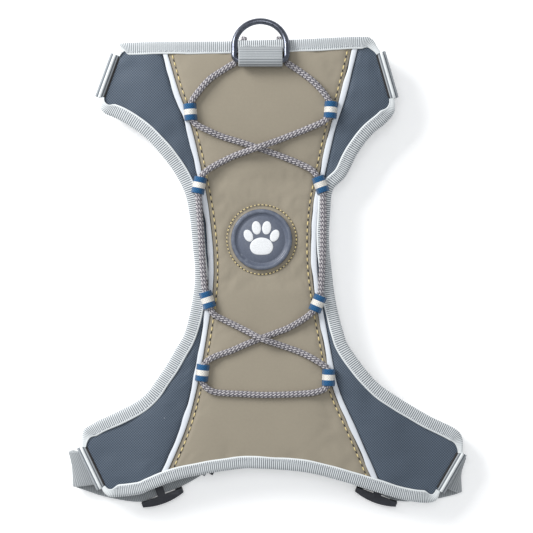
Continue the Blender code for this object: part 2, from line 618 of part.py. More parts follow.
def girth_stations(side):
    """Stations of a girth strap, from the hip corner to its turn round the buckle's bar."""
    level = SLIDER_BAR + GAP + WEB_THICK / 2
    half = WEB_WIDTH / 2
    sx, sy, sh = GIRTH_SLIDERS[side]
    bx, by, bh = BUCKLES[side]
    mirror = side == "right"
    # worked out on the left-hand side, where the strap runs towards +X
    if mirror:
        sx, sh, bx, bh = -sx, 180 - sh, -bx, 180 - bh
    corner = (-96.6, -112.6) if not mirror else (-102.6, -114.2)
    fold = (-107.4, -113.6) if not mirror else (-108.6, -117.0)
    first = 23.0 if not mirror else 28.0
    top = float(back_height(corner[0] * (-1 if mirror else 1), corner[1])) + 4.4
    toward = np.array(fold) - np.array(corner)
    spots = [(*(np.array(corner) + toward * 0.08), top, first, half),
             (*(np.array(corner) + toward * 0.55), top - 0.3, first * 0.8, half),
             (*(np.array(corner) + toward * 0.92), top - 1.8, first * 0.5, half),
             (*(np.array(corner) + toward * 1.0), (top + level) / 2, first * 0.3, half),
             (*(np.array(corner) + toward * 0.92), level + 1.3, 0, half),
             (fold[0] + 6, fold[1] - 1.6, level, -6, half)]
    s = np.array([math.cos(math.radians(sh)), math.sin(math.radians(sh))])
    mid = np.array([sx, sy])
    spots += [(*((np.array(fold) * 0.5 + (mid - 12 * s) * 0.5) + np.array([2, -1.6])), level, 2, half)]
    spots += [(*(mid - 12.5 * s), level, sh, half), (*mid, level, sh, half),
              (*(mid + 12.5 * s), level, sh, half)]
    b = np.array([math.cos(math.radians(bh)), math.sin(math.radians(bh))])
    bar = np.array([bx, by]) + b * BAR_INSET
    loop = 3.1
    rise = BUCKLE_THICK / 2
    spots += [(*(bar - b * 4.5), level, bh - 6, half - 2)]
    for turn in (-80, -40, 0, 40, 80):
        a = math.radians(turn)
        spots.append((*(bar + b * loop * math.cos(a)), rise + loop * math.sin(a), bh, half - 0.4))
    spots += [(*(bar - b * 5.0), rise + 2.6, bh, half - 0.4)]
    if mirror:
        spots = [(-x, y, z, 180 - heading, h) for x, y, z, heading, h in spots]
    return spots


def strap_bar(place):
    """The block of a cross bar that webbing turns round, in a frame 2 mm wide each side."""
    w, middle = BUCKLE_HALF - 1, BUCKLE_THICK / 2
    return (place - 1.3, -w, middle - 1), (place + 1.3, w, middle + 1)


def build_socket(side, mats):
    """Buckle housing: open at the plug end, side windows, and a bar for the girth strap."""
    bx, by, bh = BUCKLES[side]
    w, thick, long = BUCKLE_HALF, BUCKLE_THICK, SOCKET_LENGTH
    blocks = [((8.5, -w, 0), (long, w, 1.5)), ((8.5, -w, thick - 1.5), (long, w, thick)),
              ((long - 5, w - 1.8, 0), (long, w, thick)), ((long - 5, -w, 0), (long, -w + 1.8, thick)),
              ((8, -w, 0), (11.5, w, thick)),
              ((0, w - 2, 1.5), (10, w, thick - 1.5)), ((0, -w, 1.5), (10, -w + 2, thick - 1.5)),
              strap_bar(BAR_INSET)]
    union(f"buckle_socket_{side}", blocks, (bx, by, 0), bh, mats["plastic"])


def build_plug(side, mats):
    """Pronged half of the buckle: two spring arms, a middle guide and a bar for the chest strap."""
    bx, by, bh = BUCKLES[side]
    w, thick, start = BUCKLE_HALF - 0.2, BUCKLE_THICK, SOCKET_LENGTH + 2 * GAP
    tip, end = start - PRONG_DEPTH, start + PLUG_LENGTH
    low, high = 2.0, thick - 2.0
    blocks = [((start, -w, 1.0), (start + 4, w, thick - 1.0)),
              ((tip + 1, -1.8, low), (start + 1, 1.8, high)),
              strap_bar(end - BAR_INSET)]
    for near, far in ((6.8, 9.0), (-9.0, -6.8)):
        blocks.append(((tip, near, low), (start + 1, far, high)))
    for near, far in ((7.5, 10.6), (-10.6, -7.5)):
        blocks.append(((tip, near, low), (tip + 5, far, high)))
    for near, far in ((w - 2, w), (-w, -w + 2)):
        blocks.append(((start + 3, near, 1.5), (end, far, thick - 1.5)))
    union(f"buckle_plug_{side}", blocks, (bx, by, 0), bh, mats["plastic"])


def build_buckle_strap(side, mats):
    """Short webbing from the chest panel's lower corner round the plug's bar."""
    bx, by, bh = BUCKLES[side]
    b = np.array([math.cos(math.radians(bh)), math.sin(math.radians(bh))])
    bar = np.array([bx, by]) + b * (SOCKET_LENGTH + 2 * GAP + PLUG_LENGTH - BAR_INSET)
    half, loop, rise = WEB_WIDTH / 2 - 0.4, 3.1, BUCKLE_THICK / 2
    end = {"left": (-10.2, -56.6), "right": (14.6, -56.9)}[side]
    chest = float(chest_height(*end)) + 3.2
    reach = float(np.dot(np.array(end) - bar, b))
    spots = [(*(bar + b * (reach - 0.8)), chest, bh, half), (*(bar + b * (reach * 0.55)), 2.4, bh, half)]
    for turn in (-100, -140, 180, 140, 100):
        a = math.radians(turn)
        spots.append((*(bar + b * loop * math.cos(a)), rise + loop * math.sin(a), bh, half))
    spots += [(*(bar + b * 5.0), rise + 2.0, bh, half)]
    left, right = strap_rails(spots)
    band(f"buckle_strap_{side}", left, right, 1.2, mats["webbing"], 24)


def build_straps(mats):
    """All webbing, adjusters and buckles."""
    for side in ("left", "right"):
        build_slider(f"neck_slider_{side}", NECK_SLIDERS[side], NECK_SLIDER_LEVEL, mats)
        build_slider(f"girth_slider_{side}", GIRTH_SLIDERS[side], 0.0, mats, GIRTH_RAIL_BOW)
        build_neck_strap(side, mats)
        left, right = strap_rails(girth_stations(side))
        band(f"girth_strap_{side}", left, right, WEB_THICK, mats["webbing"], 50)
        build_socket(side, mats)
        build_plug(side, mats)
        build_buckle_strap(side, mats)


def main():
    for old in list(bpy.data.objects):
        bpy.data.objects.remove(old)
    mats = {
        "taupe": finish("taupe_face", (0.34, 0.29, 0.21), 0.7),
        "slate": finish("slate_fabric", (0.09, 0.13, 0.18), 0.75),
        "binding": finish("binding_tape", (0.48, 0.5, 0.53), 0.6),
        "webbing": finish("webbing", (0.45, 0.46, 0.49), 0.6),
        "reflective": finish("reflective_piping", (0.8, 0.84, 0.87), 0.35),
        "foam": finish("foam", (0.2, 0.2, 0.2), 0.95),
        "mesh": finish("spacer_mesh", (0.12, 0.13, 0.15), 0.9),
        "rubber": finish("badge_rubber", (0.06, 0.07, 0.12), 0.5),
        "cord": finish("braided_cord", (0.27, 0.27, 0.29), 0.7),
        "ribbon": finish("loop_ribbon", (0.03, 0.11, 0.3), 0.6),
        "steel": finish("ring_wire", (0.06, 0.07, 0.09), 0.3, 0.9),
        "plastic": finish("buckle_plastic", (0.03, 0.03, 0.04), 0.45),
    }
    build_back_panel(mats)
    build_badge(mats)
    build_cord(mats)
    build_loops(mats)
    build_rings(mats)
    build_chest_panel(mats)
    build_straps(mats)


main()
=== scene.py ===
"""No-pull dog harness: the looks of every piece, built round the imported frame.

The harness lies flat, its padded back panel on top of its chest panel, with the neck towards +Y.
Every length in this file is in millimetres, and is turned into metres where a mesh is made.
"""

import logging
import math
from dataclasses import dataclass, field
from enum import Enum
from typing import Callable, Iterable, Optional, Sequence

import bmesh
import bpy
import numpy as np
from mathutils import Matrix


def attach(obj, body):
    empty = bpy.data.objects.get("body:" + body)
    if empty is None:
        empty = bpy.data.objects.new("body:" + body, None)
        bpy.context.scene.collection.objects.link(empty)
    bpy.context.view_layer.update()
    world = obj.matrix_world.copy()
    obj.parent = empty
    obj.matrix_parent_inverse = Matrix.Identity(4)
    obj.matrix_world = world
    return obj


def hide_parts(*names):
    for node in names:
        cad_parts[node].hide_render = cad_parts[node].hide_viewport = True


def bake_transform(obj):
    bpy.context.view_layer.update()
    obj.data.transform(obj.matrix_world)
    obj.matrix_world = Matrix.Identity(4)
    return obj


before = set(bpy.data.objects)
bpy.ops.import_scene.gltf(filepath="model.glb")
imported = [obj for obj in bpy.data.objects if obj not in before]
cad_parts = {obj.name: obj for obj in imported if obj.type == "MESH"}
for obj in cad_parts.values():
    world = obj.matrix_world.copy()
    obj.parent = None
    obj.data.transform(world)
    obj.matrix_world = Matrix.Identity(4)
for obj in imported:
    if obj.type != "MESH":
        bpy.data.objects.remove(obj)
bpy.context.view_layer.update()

MM = 0.001
LOG = logging.getLogger("harness")
Points = Sequence[tuple[float, ...]]
Height = Callable[[np.ndarray, np.ndarray], np.ndarray]


# ---------------------------------------------------------------- curves and grids

def spline(points: Points | np.ndarray, count: int) -> np.ndarray:
    """Smooth curve through points.

    Args:
        points: rows of coordinates, in order.
        count: how many evenly spaced points to give back.

    Returns:
        An array of count rows.
    """
    p = np.array(points, float)
    p = np.vstack([2 * p[0] - p[1], p, 2 * p[-1] - p[-2]])
    t = np.linspace(0, 1, 12, endpoint=False)[:, None]
    fine = []
    for a, b, c, d in zip(p, p[1:], p[2:], p[3:]):
        cubic = 2 * b + (c - a) * t + (2 * a - 5 * b + 4 * c - d) * t**2 + (3 * b - a - 3 * c + d) * t**3
        fine.append(0.5 * cubic)
    return resampled(np.vstack(fine + [p[-2:-1]]), count)


def resampled(line: np.ndarray, count: int) -> np.ndarray:
    """The same polyline with count evenly spaced points.

    Args:
        line: its corners.
        count: how many points.

    Returns:
        The points, first and last kept.
    """
    along = run_length(line)
    want = np.linspace(0, along[-1], count)
    return np.column_stack([np.interp(want, along, line[:, k]) for k in range(line.shape[1])])


def run_length(line: np.ndarray) -> np.ndarray:
    """Distance along a polyline at each of its points."""
    return np.r_[0, np.cumsum(np.linalg.norm(np.diff(line, axis=0), axis=1))]


def left_normals(curve: np.ndarray) -> np.ndarray:
    """Unit vectors to the left of a plan curve."""
    run = np.gradient(curve, axis=0)
    run /= np.linalg.norm(run, axis=1)[:, None]
    return np.column_stack([-run[:, 1], run[:, 0]])


def smoothed(directions: np.ndarray, reach: int) -> np.ndarray:
    """Unit directions averaged over their neighbours, so that a tight turn doesn't fold."""
    window = np.hanning(2 * reach + 3)
    padded = np.pad(directions, ((reach + 1, reach + 1), (0, 0)), mode="edge")
    mean = np.column_stack([np.convolve(padded[:, k], window, mode="valid")
                            for k in range(directions.shape[1])])
    return mean / np.linalg.norm(mean, axis=1)[:, None]


def half_way(line: np.ndarray, pitch: float) -> np.ndarray:
    """The line without half a spacing at each end, so that what repeats on it falls between."""
    along = run_length(line)
    half = along[-1] / max(1, math.floor(along[-1] / pitch)) / 2
    at = np.linspace(half, along[-1] - half, len(line))
    return np.column_stack([np.interp(at, along, line[:, k]) for k in range(line.shape[1])])


def shifted(curve: np.ndarray, distance: float) -> np.ndarray:
    """A plan curve moved to its left."""
    return curve + left_normals(curve) * distance


def ease(value: np.ndarray | float) -> np.ndarray | float:
    """Smooth step from 0 to 1."""
    value = np.clip(value, 0, 1)
    return value * value * (3 - 2 * value)


def patch(bottom: np.ndarray, right: np.ndarray, top: np.ndarray, left: np.ndarray,
          step: float) -> np.ndarray:
    """Grid over the area between four curves.

    Args:
        bottom: curve from left to right.
        right: curve from bottom to top.
        top: curve from left to right.
        left: curve from bottom to top.
        step: the grid's pitch.

    Returns:
        An array of rows, columns and plan coordinates.
    """
    cols = max(2, round(max(run_length(np.array(bottom))[-1], run_length(np.array(top))[-1]) / step))
    rows = max(2, round(max(run_length(np.array(left))[-1], run_length(np.array(right))[-1]) / step))
    s, t = np.linspace(0, 1, cols + 1)[None, :, None], np.linspace(0, 1, rows + 1)[:, None, None]
    b, u = spline(bottom, cols + 1), spline(top, cols + 1)
    lf, r = spline(left, rows + 1), spline(right, rows + 1)
    sides = (1 - s) * lf[:, None] + s * r[:, None]
    ends = (1 - t) * b[None] + t * u[None]
    corners = (1 - s) * (1 - t) * b[0] + s * (1 - t) * b[-1] + (1 - s) * t * u[0] + s * t * u[-1]
    return sides + ends - corners


def distance_to(grid: np.ndarray, lines: Iterable[np.ndarray]) -> np.ndarray:
    """Plan distance from each grid point to the nearest of some lines.

    Args:
        grid: points in rows.
        lines: polylines in plan.

    Returns:
        One distance for each point.
    """
    flat = grid.reshape(-1, 2)
    best = np.full(len(flat), 1e9)
    for line in lines:
        dense = resampled(line, max(2, round(run_length(line)[-1])))
        for start in range(0, len(dense), 40):
            part = dense[start:start + 40]
            gap = np.hypot(flat[:, None, 0] - part[None, :, 0], flat[:, None, 1] - part[None, :, 1])
            best = np.minimum(best, gap.min(axis=1))
    return best.reshape(grid.shape[:2])


def ripple(x: np.ndarray, seed: int, wave: float) -> np.ndarray:
    """Slow uneven wave between about -1 and 1, the same each time for one seed."""
    rng = np.random.default_rng(seed)
    total = np.zeros_like(np.asarray(x, float))
    for share in (1.0, 0.63, 0.37):
        total += share * np.sin(2 * np.pi * np.asarray(x) / (wave * share) + rng.uniform(0, 6.28))
    return total / 2


# ---------------------------------------------------------------- meshes

def link(obj: bpy.types.Object) -> bpy.types.Object:
    """Puts an object in the scene."""
    bpy.context.scene.collection.objects.link(obj)
    return obj


def make_mesh(name: str, points: np.ndarray, faces: list, material: Optional[bpy.types.Material] = None,
              uv: Optional[np.ndarray] = None, marks: Optional[dict[str, np.ndarray]] = None,
              edges: Sequence = ()) -> bpy.types.Object:
    """One mesh object with its faces turned outwards.

    Args:
        name: the object's name.
        points: rows of x, y and z.
        faces: lists of point numbers.
        material: its finish.
        uv: two coordinates for each point, in millimetres of cloth.
        marks: named numbers for each point.
        edges: pairs of point numbers, for a bare path.

    Returns:
        The linked object.
    """
    mesh = bpy.data.meshes.new(name)
    mesh.from_pydata((np.asarray(points, float) * MM).tolist(), list(edges), faces)
    if faces:
        bm = bmesh.new()
        bm.from_mesh(mesh)
        bmesh.ops.recalc_face_normals(bm, faces=bm.faces)
        bm.to_mesh(mesh)
        bm.free()
        mesh.shade_smooth()
    if uv is not None:
        corner = np.zeros(len(mesh.loops), np.int32)
        mesh.loops.foreach_get("vertex_index", corner)
        layer = mesh.uv_layers.new(name="UVMap")
        layer.data.foreach_set("uv", (np.asarray(uv, float)[corner] * MM).astype(np.float32).ravel())
    for label, values in (marks or {}).items():
        mesh.attributes.new(label, "FLOAT", "POINT").data.foreach_set("value", values.astype(np.float32))
    if material:
        mesh.materials.append(material)
    return link(bpy.data.objects.new(name, mesh))


def grid_faces(rows: int, cols: int, looped: bool = False) -> list:
    """Quads over rows and columns of points, the columns joined up where looped."""
    spans = cols if looped else cols - 1
    i, k = np.meshgrid(np.arange(rows - 1), np.arange(spans), indexing="ij")
    n = (k + 1) % cols
    corners = [i * cols + k, i * cols + n, (i + 1) * cols + n, (i + 1) * cols + k]
    return np.stack(corners, axis=-1).reshape(-1, 4).tolist()


def sweep(name: str, rings: np.ndarray, material: bpy.types.Material, closed: bool = False,
          uv: Optional[np.ndarray] = None, marks: Optional[dict[str, np.ndarray]] = None) -> bpy.types.Object:
    """A skin over rings of points: capped at both ends, or joined up where closed.

    Args:
        name: the object's name.
        rings: rings, points and x, y, z.
        material: its finish.
        closed: whether the last ring meets the first.
        uv: two coordinates for each point.
        marks: named numbers for each point.

    Returns:
        The linked object.
    """
    count, around = rings.shape[:2]
    faces = grid_faces(count, around, looped=True)
    if closed:
        last = (count - 1) * around
        faces += [[last + k, last + (k + 1) % around, (k + 1) % around, k] for k in range(around)]
    else:
        faces += [list(range(around)), [(count - 1) * around + k for k in range(around)]]
    return make_mesh(name, rings.reshape(-1, 3), faces, material, uv, marks)


def slab(name: str, top: np.ndarray, bottom: np.ndarray, material: bpy.types.Material) -> bpy.types.Object:
    """A closed sheet between two grids of points, laid out flat in its plan for its cloth.

    Args:
        name: the object's name.
        top: the upper grid.
        bottom: the lower grid.
        material: its finish.

    Returns:
        The linked object.
    """
    rows, cols = top.shape[:2]
    count = rows * cols
    faces = grid_faces(rows, cols)
    faces += [[count + n for n in reversed(face)] for face in grid_faces(rows, cols)]
    rim = [k for k in range(cols)] + [i * cols + cols - 1 for i in range(1, rows)]
    rim += [(rows - 1) * cols + k for k in range(cols - 2, -1, -1)]
    rim += [i * cols for i in range(rows - 2, 0, -1)]
    faces += [[a, b, count + b, count + a] for a, b in zip(rim, rim[1:] + rim[:1])]
    points = np.vstack([top.reshape(-1, 3), bottom.reshape(-1, 3)])
    return make_mesh(name, points, faces, material, uv=points[:, :2])


def path_mesh(name: str, lines: Iterable[np.ndarray]) -> bpy.types.Mesh:
    """Bare polylines as one mesh, for a node tree to follow."""
    points, edges = [], []
    for line in lines:
        start = len(points)
        points += line.tolist()
        edges += [(start + k, start + k + 1) for k in range(len(line) - 1)]
    mesh = bpy.data.meshes.new(name)
    mesh.from_pydata((np.array(points) * MM).tolist(), edges, [])
    return mesh


def face_count(obj: bpy.types.Object) -> int:
    """How many faces an object's mesh has."""
    return len(obj.data.polygons)


# ---------------------------------------------------------------- node trees

class NodeBench:
    """Adds nodes to one tree and joins them up."""

    def __init__(self, tree: bpy.types.NodeTree) -> None:
        """Starts on an empty tree."""
        self.tree = tree

    @classmethod
    def group(cls, kind: str, name: str, inputs: Sequence[tuple], outputs: Sequence[tuple]) -> "NodeBench":
        """A new node group.

        Args:
            kind: the type of tree.
            name: the group's name.
            inputs: name, socket type and default of each input.
            outputs: name and socket type of each output.

        Returns:
            A bench over the new tree, with its ends ready.
        """
        tree = bpy.data.node_groups.new(name, kind)
        for label, socket, default in inputs:
            made = tree.interface.new_socket(label, in_out="INPUT", socket_type=socket)
            if default is not None:
                made.default_value = default
        for label, socket in outputs:
            tree.interface.new_socket(label, in_out="OUTPUT", socket_type=socket)
        bench = cls(tree)
        bench.start = tree.nodes.new("NodeGroupInput").outputs
        bench.end = tree.nodes.new("NodeGroupOutput").inputs
        return bench

    def feed(self, socket: bpy.types.NodeSocket, value: object) -> None:
        """Links a socket to another, or sets its number."""
        if isinstance(value, bpy.types.NodeSocket):
            self.tree.links.new(value, socket)
        else:
            socket.default_value = value

    def add(self, kind: str, settings: Optional[dict] = None, **inputs: object) -> bpy.types.Node:
        """A node with its settings, and its inputs by socket name."""
        node = self.tree.nodes.new(kind)
        for name, value in (settings or {}).items():
            setattr(node, name, value)
        for name, value in inputs.items():
            label = name.replace("_", " ")
            socket = next(s for s in node.inputs if s.name == label and s.enabled)
            self.feed(socket, value)
        return node

    def math(self, operation: str, *values: object) -> bpy.types.NodeSocket:
        """One sum on numbers."""
        node = self.add("ShaderNodeMath", {"operation": operation})
        for socket, value in zip(node.inputs, values):
            self.feed(socket, value)
        return node.outputs[0]

    def vector(self, operation: str, *values: object) -> bpy.types.NodeSocket:
        """One sum on vectors. SCALE takes its number last."""
        node = self.add("ShaderNodeVectorMath", {"operation": operation})
        if operation == "SCALE":
            self.feed(node.inputs[0], values[0])
            self.feed(node.inputs["Scale"], values[1])
        else:
            for socket, value in zip(node.inputs, values):
                self.feed(socket, value)
        return node.outputs[0]

    def mix(self, factor: object, a: object, b: object) -> bpy.types.NodeSocket:
        """A colour between a and b."""
        node = self.tree.nodes.new("ShaderNodeMix")
        node.data_type = "RGBA"
        for place, value in ((0, factor), (6, a), (7, b)):
            self.feed(node.inputs[place], value)
        return node.outputs[2]

    def call(self, tree: bpy.types.NodeTree, **inputs: object) -> bpy.types.NodeOutputs:
        """The outputs of a shared group used in this tree."""
        return self.add("ShaderNodeGroup", {"node_tree": tree}, **inputs).outputs


class SharedShading:
    """The node groups that every finish draws on."""

    def __init__(self) -> None:
        """Makes every shared group once."""
        self.weave = self._weave()
        self.grain = self._grain()
        self.wear = self._wear()
        self.lint = self._lint()

    def _weave(self) -> bpy.types.NodeTree:
        """Plain weave: threads that pass over and under each other."""
        bench = NodeBench.group("ShaderNodeTree", "weave", [
            ("Vector", "NodeSocketVector", None), ("Pitch", "NodeSocketFloat", 0.001),
            ("Turn", "NodeSocketFloat", 0.0)], [("Height", "NodeSocketFloat"), ("Over", "NodeSocketFloat")])
        turned = bench.add("ShaderNodeVectorRotate", {"rotation_type": "Z_AXIS"},
                           Vector=bench.start["Vector"],
                           Angle=bench.start["Turn"]).outputs[0]
        scaled = bench.vector("SCALE", turned, bench.math("DIVIDE", math.pi, bench.start["Pitch"]))
        axes = bench.add("ShaderNodeSeparateXYZ", Vector=scaled).outputs
        warp, weft = bench.math("SINE", axes["X"]), bench.math("SINE", axes["Y"])
        over = bench.math("MULTIPLY_ADD", bench.math("MULTIPLY", warp, weft), 0.5, 0.5)
        first = bench.math("MULTIPLY", over, bench.math("ABSOLUTE", warp))
        second = bench.math("MULTIPLY", bench.math("SUBTRACT", 1.0, over), bench.math("ABSOLUTE", weft))
        bench.feed(bench.end["Height"], bench.math("ADD", first, second))
        bench.feed(bench.end["Over"], over)
        return bench.tree

    def _grain(self) -> bpy.types.NodeTree:
        """Uneven colour and surface at three sizes."""
        bench = NodeBench.group("ShaderNodeTree", "grain", [
            ("Vector", "NodeSocketVector", None), ("Size", "NodeSocketFloat", 0.002)],
            [("Value", "NodeSocketFloat"), ("Fine", "NodeSocketFloat"), ("Blotch", "NodeSocketFloat")])
        for name, share, detail in (("Value", 1.0, 3.0), ("Fine", 0.18, 2.0), ("Blotch", 14.0, 2.0)):
            size = bench.math("MULTIPLY", bench.start["Size"], share)
            noise = bench.add("ShaderNodeTexNoise", Vector=bench.start["Vector"], Detail=detail,
                              Scale=bench.math("DIVIDE", 1.0, size))
            bench.feed(bench.end[name], noise.outputs[0])
        return bench.tree

    def _wear(self) -> bpy.types.NodeTree:
        """Mask over rubbed outer edges."""
        bench = NodeBench.group("ShaderNodeTree", "edge wear", [
            ("Vector", "NodeSocketVector", None), ("Size", "NodeSocketFloat", 0.003)],
            [("Mask", "NodeSocketFloat")])
        point = bench.add("ShaderNodeNewGeometry").outputs["Pointiness"]
        edge = bench.add("ShaderNodeMapRange", Value=point, From_Min=0.51, From_Max=0.6).outputs[0]
        noise = bench.add("ShaderNodeTexNoise", Vector=bench.start["Vector"], Detail=4.0,
                          Scale=bench.math("DIVIDE", 1.0, bench.start["Size"])).outputs[0]
        rough = bench.add("ShaderNodeMapRange", Value=noise, From_Min=0.4, From_Max=0.65).outputs[0]
        bench.feed(bench.end["Mask"], bench.math("MULTIPLY", edge, rough))
        return bench.tree

    def _lint(self) -> bpy.types.NodeTree:
        """Sparse specks of fluff."""
        bench = NodeBench.group("ShaderNodeTree", "lint", [
            ("Vector", "NodeSocketVector", None), ("Spacing", "NodeSocketFloat", 0.012)],
            [("Mask", "NodeSocketFloat")])
        cells = bench.add("ShaderNodeTexVoronoi", Vector=bench.start["Vector"],
                          Scale=bench.math("DIVIDE", 1.0, bench.start["Spacing"])).outputs["Distance"]
        speck = bench.add("ShaderNodeMapRange", Value=cells, From_Min=0.03, From_Max=0.015).outputs[0]
        bench.feed(bench.end["Mask"], speck)
        return bench.tree


class GrowingTrees:
    """The geometry trees that make whatever repeats along a path."""

    def __init__(self) -> None:
        """Makes every geometry tree once."""
        self.stitches = self._stitches()
        self.ribs = self._ribs()
        self.braid = self._braid()

    def _stitches(self) -> bpy.types.NodeTree:
        """A rounded stitch at even steps along each path."""
        bench = NodeBench.group("GeometryNodeTree", "stitch run", [
            ("Path", "NodeSocketGeometry", None), ("Pitch", "NodeSocketFloat", 0.004),
            ("Length", "NodeSocketFloat", 0.0026), ("Thickness", "NodeSocketFloat", 0.0005),
            ("Seed", "NodeSocketInt", 3), ("Thread", "NodeSocketMaterial", None)],
            [("Stitches", "NodeSocketGeometry")])
        start = bench.start
        curve = bench.add("GeometryNodeMeshToCurve", Mesh=start["Path"]).outputs[0]
        steps = bench.add("GeometryNodeResampleCurve", {"mode": "LENGTH"}, Curve=curve,
                          Length=start["Pitch"]).outputs[0]
        ball = bench.add("GeometryNodeMeshUVSphere", Segments=6, Rings=5, Radius=0.5).outputs[0]
        size = bench.add("ShaderNodeCombineXYZ", X=start["Length"], Y=start["Thickness"],
                         Z=start["Thickness"]).outputs[0]
        capsule = bench.add("GeometryNodeTransform", Geometry=ball, Scale=size).outputs[0]
        turn = bench.add("FunctionNodeAlignRotationToVector", {"axis": "X"},
                         Vector=bench.add("GeometryNodeInputTangent").outputs[0]).outputs[0]
        uneven = bench.add("FunctionNodeRandomValue", {"data_type": "FLOAT"}, Min=0.88, Max=1.08,
                           Seed=start["Seed"])
        scale = next(s for s in uneven.outputs if s.enabled)
        placed = bench.add("GeometryNodeInstanceOnPoints", Points=steps, Instance=capsule, Rotation=turn,
                           Scale=scale).outputs[0]
        real = bench.add("GeometryNodeRealizeInstances", Geometry=placed).outputs[0]
        smooth = bench.add("GeometryNodeSetShadeSmooth", Geometry=real).outputs[0]
        done = bench.add("GeometryNodeSetMaterial", Geometry=smooth, Material=start["Thread"]).outputs[0]
        bench.feed(bench.end["Stitches"], done)
        return bench.tree

    def _ribs(self) -> bpy.types.NodeTree:
        """Raised ribs across a tape, from how far along it each point is, with painted shade kept for the
        valleys between them.
        """
        bench = NodeBench.group("GeometryNodeTree", "tape ribs", [
            ("Tape", "NodeSocketGeometry", None), ("Pitch", "NodeSocketFloat", 1.5),
            ("Depth", "NodeSocketFloat", 0.0002), ("Finish", "NodeSocketMaterial", None)],
            [("Ribbed", "NodeSocketGeometry")])
        start = bench.start

        def mark(name: str) -> bpy.types.NodeSocket:
            node = bench.add("GeometryNodeInputNamedAttribute", {"data_type": "FLOAT"}, Name=name)
            return next(s for s in node.outputs if s.enabled)

        turn = bench.math("DIVIDE", bench.math("MULTIPLY", mark("along"), math.pi), start["Pitch"])
        wave = bench.math("ABSOLUTE", bench.math("SINE", turn))
        depth = bench.math("MULTIPLY", start["Depth"], mark("ribbed"))
        lift = bench.math("MULTIPLY", bench.math("SUBTRACT", wave, 0.6), depth)
        normal = bench.add("GeometryNodeInputNormal").outputs[0]
        moved = bench.add("GeometryNodeSetPosition", Geometry=start["Tape"],
                          Offset=bench.vector("SCALE", normal, lift)).outputs[0]
        # painted shade: the deeper a point lies in a valley between ribs, the darker its colour, through the
        # stored mark
        valley_shade = bench.math("MULTIPLY", bench.math("SUBTRACT", 1.0, wave), mark("ribbed"))
        stored = bench.add("GeometryNodeStoreNamedAttribute", {"data_type": "FLOAT", "domain": "POINT"},
                           Geometry=moved,
                           Name="rib", Value=bench.math("SUBTRACT", 1.0, valley_shade)).outputs[0]
        real = bench.add("GeometryNodeRealizeInstances", Geometry=stored).outputs[0]
        done = bench.add("GeometryNodeSetMaterial", Geometry=real, Material=start["Finish"]).outputs[0]
        bench.feed(bench.end["Ribbed"], done)
        return bench.tree

    def _braid(self) -> bpy.types.NodeTree:
        """Round braid: strands that wind both ways round a core and pass over and under."""
        bench = NodeBench.group("GeometryNodeTree", "round braid", [
            ("Path", "NodeSocketGeometry", None), ("Step", "NodeSocketFloat", 0.0009),
            ("Strands", "NodeSocketInt", 16), ("Lay", "NodeSocketFloat", 0.02),
            ("Radius", "NodeSocketFloat", 0.0013), ("Strand radius", "NodeSocketFloat", 0.0004),
            ("Weave depth", "NodeSocketFloat", 0.0001), ("Yarn", "NodeSocketMaterial", None)],
            [("Braid", "NodeSocketGeometry")])
        start = bench.start
        curve = bench.add("GeometryNodeMeshToCurve", Mesh=start["Path"]).outputs[0]
        steps = bench.add("GeometryNodeResampleCurve", {"mode": "LENGTH"}, Curve=curve,
                          Length=start["Step"]).outputs[0]
        copies = bench.add("GeometryNodeDuplicateElements", {"domain": "SPLINE"}, Geometry=steps,
                           Amount=start["Strands"])
        number = copies.outputs["Duplicate Index"]
        way = bench.math("MULTIPLY_ADD", bench.math("MODULO", number, 2.0), 2.0, -1.0)
        place = bench.math("FLOOR", bench.math("DIVIDE", number, 2.0))
        half = bench.math("DIVIDE", start["Strands"], 2.0)
        run = bench.math("DIVIDE", bench.add("GeometryNodeSplineParameter").outputs["Length"], start["Lay"])
        wind = bench.math("MULTIPLY", bench.math("MULTIPLY", run, way), math.tau)
        angle = bench.math("MULTIPLY_ADD", bench.math("DIVIDE", place, half), math.tau, wind)
        met = bench.math("MULTIPLY", run, start["Strands"])
        crossing = bench.math("COSINE", bench.math("MULTIPLY", met, math.pi))
        weave = bench.math("MULTIPLY", bench.math("MULTIPLY", crossing, way), start["Weave depth"])
        reach = bench.math("ADD", start["Radius"], weave)
        normal = bench.add("GeometryNodeInputNormal").outputs[0]
        tangent = bench.add("GeometryNodeInputTangent").outputs[0]
        side = bench.vector("CROSS_PRODUCT", tangent, normal)
        out = bench.vector("ADD", bench.vector("SCALE", normal, bench.math("COSINE", angle)),
                           bench.vector("SCALE", side, bench.math("SINE", angle)))
        wound = bench.add("GeometryNodeSetPosition", Geometry=copies.outputs["Geometry"],
                          Offset=bench.vector("SCALE", out, reach)).outputs[0]
        marked = bench.add("GeometryNodeStoreNamedAttribute", {"data_type": "FLOAT", "domain": "CURVE"},
                           Geometry=wound, Name="strand", Value=way).outputs[0]
        strand = bench.add("GeometryNodeCurvePrimitiveCircle", Resolution=5,
                           Radius=start["Strand radius"]).outputs[0]
        strands = bench.add("GeometryNodeCurveToMesh", Curve=marked, Profile_Curve=strand,
                            Fill_Caps=True).outputs[0]
        middle = bench.add("GeometryNodeCurvePrimitiveCircle", Resolution=10,
                           Radius=start["Radius"]).outputs[0]
        core = bench.add("GeometryNodeCurveToMesh", Curve=steps, Profile_Curve=middle,
                         Fill_Caps=True).outputs[0]
        joined = bench.add("GeometryNodeJoinGeometry")
        bench.feed(joined.inputs[0], strands)
        bench.feed(joined.inputs[0], core)
        smooth = bench.add("GeometryNodeSetShadeSmooth", Geometry=joined.outputs[0]).outputs[0]
        real = bench.add("GeometryNodeRealizeInstances", Geometry=smooth).outputs[0]
        done = bench.add("GeometryNodeSetMaterial", Geometry=real, Material=start["Yarn"]).outputs[0]
        bench.feed(bench.end["Braid"], done)
        return bench.tree


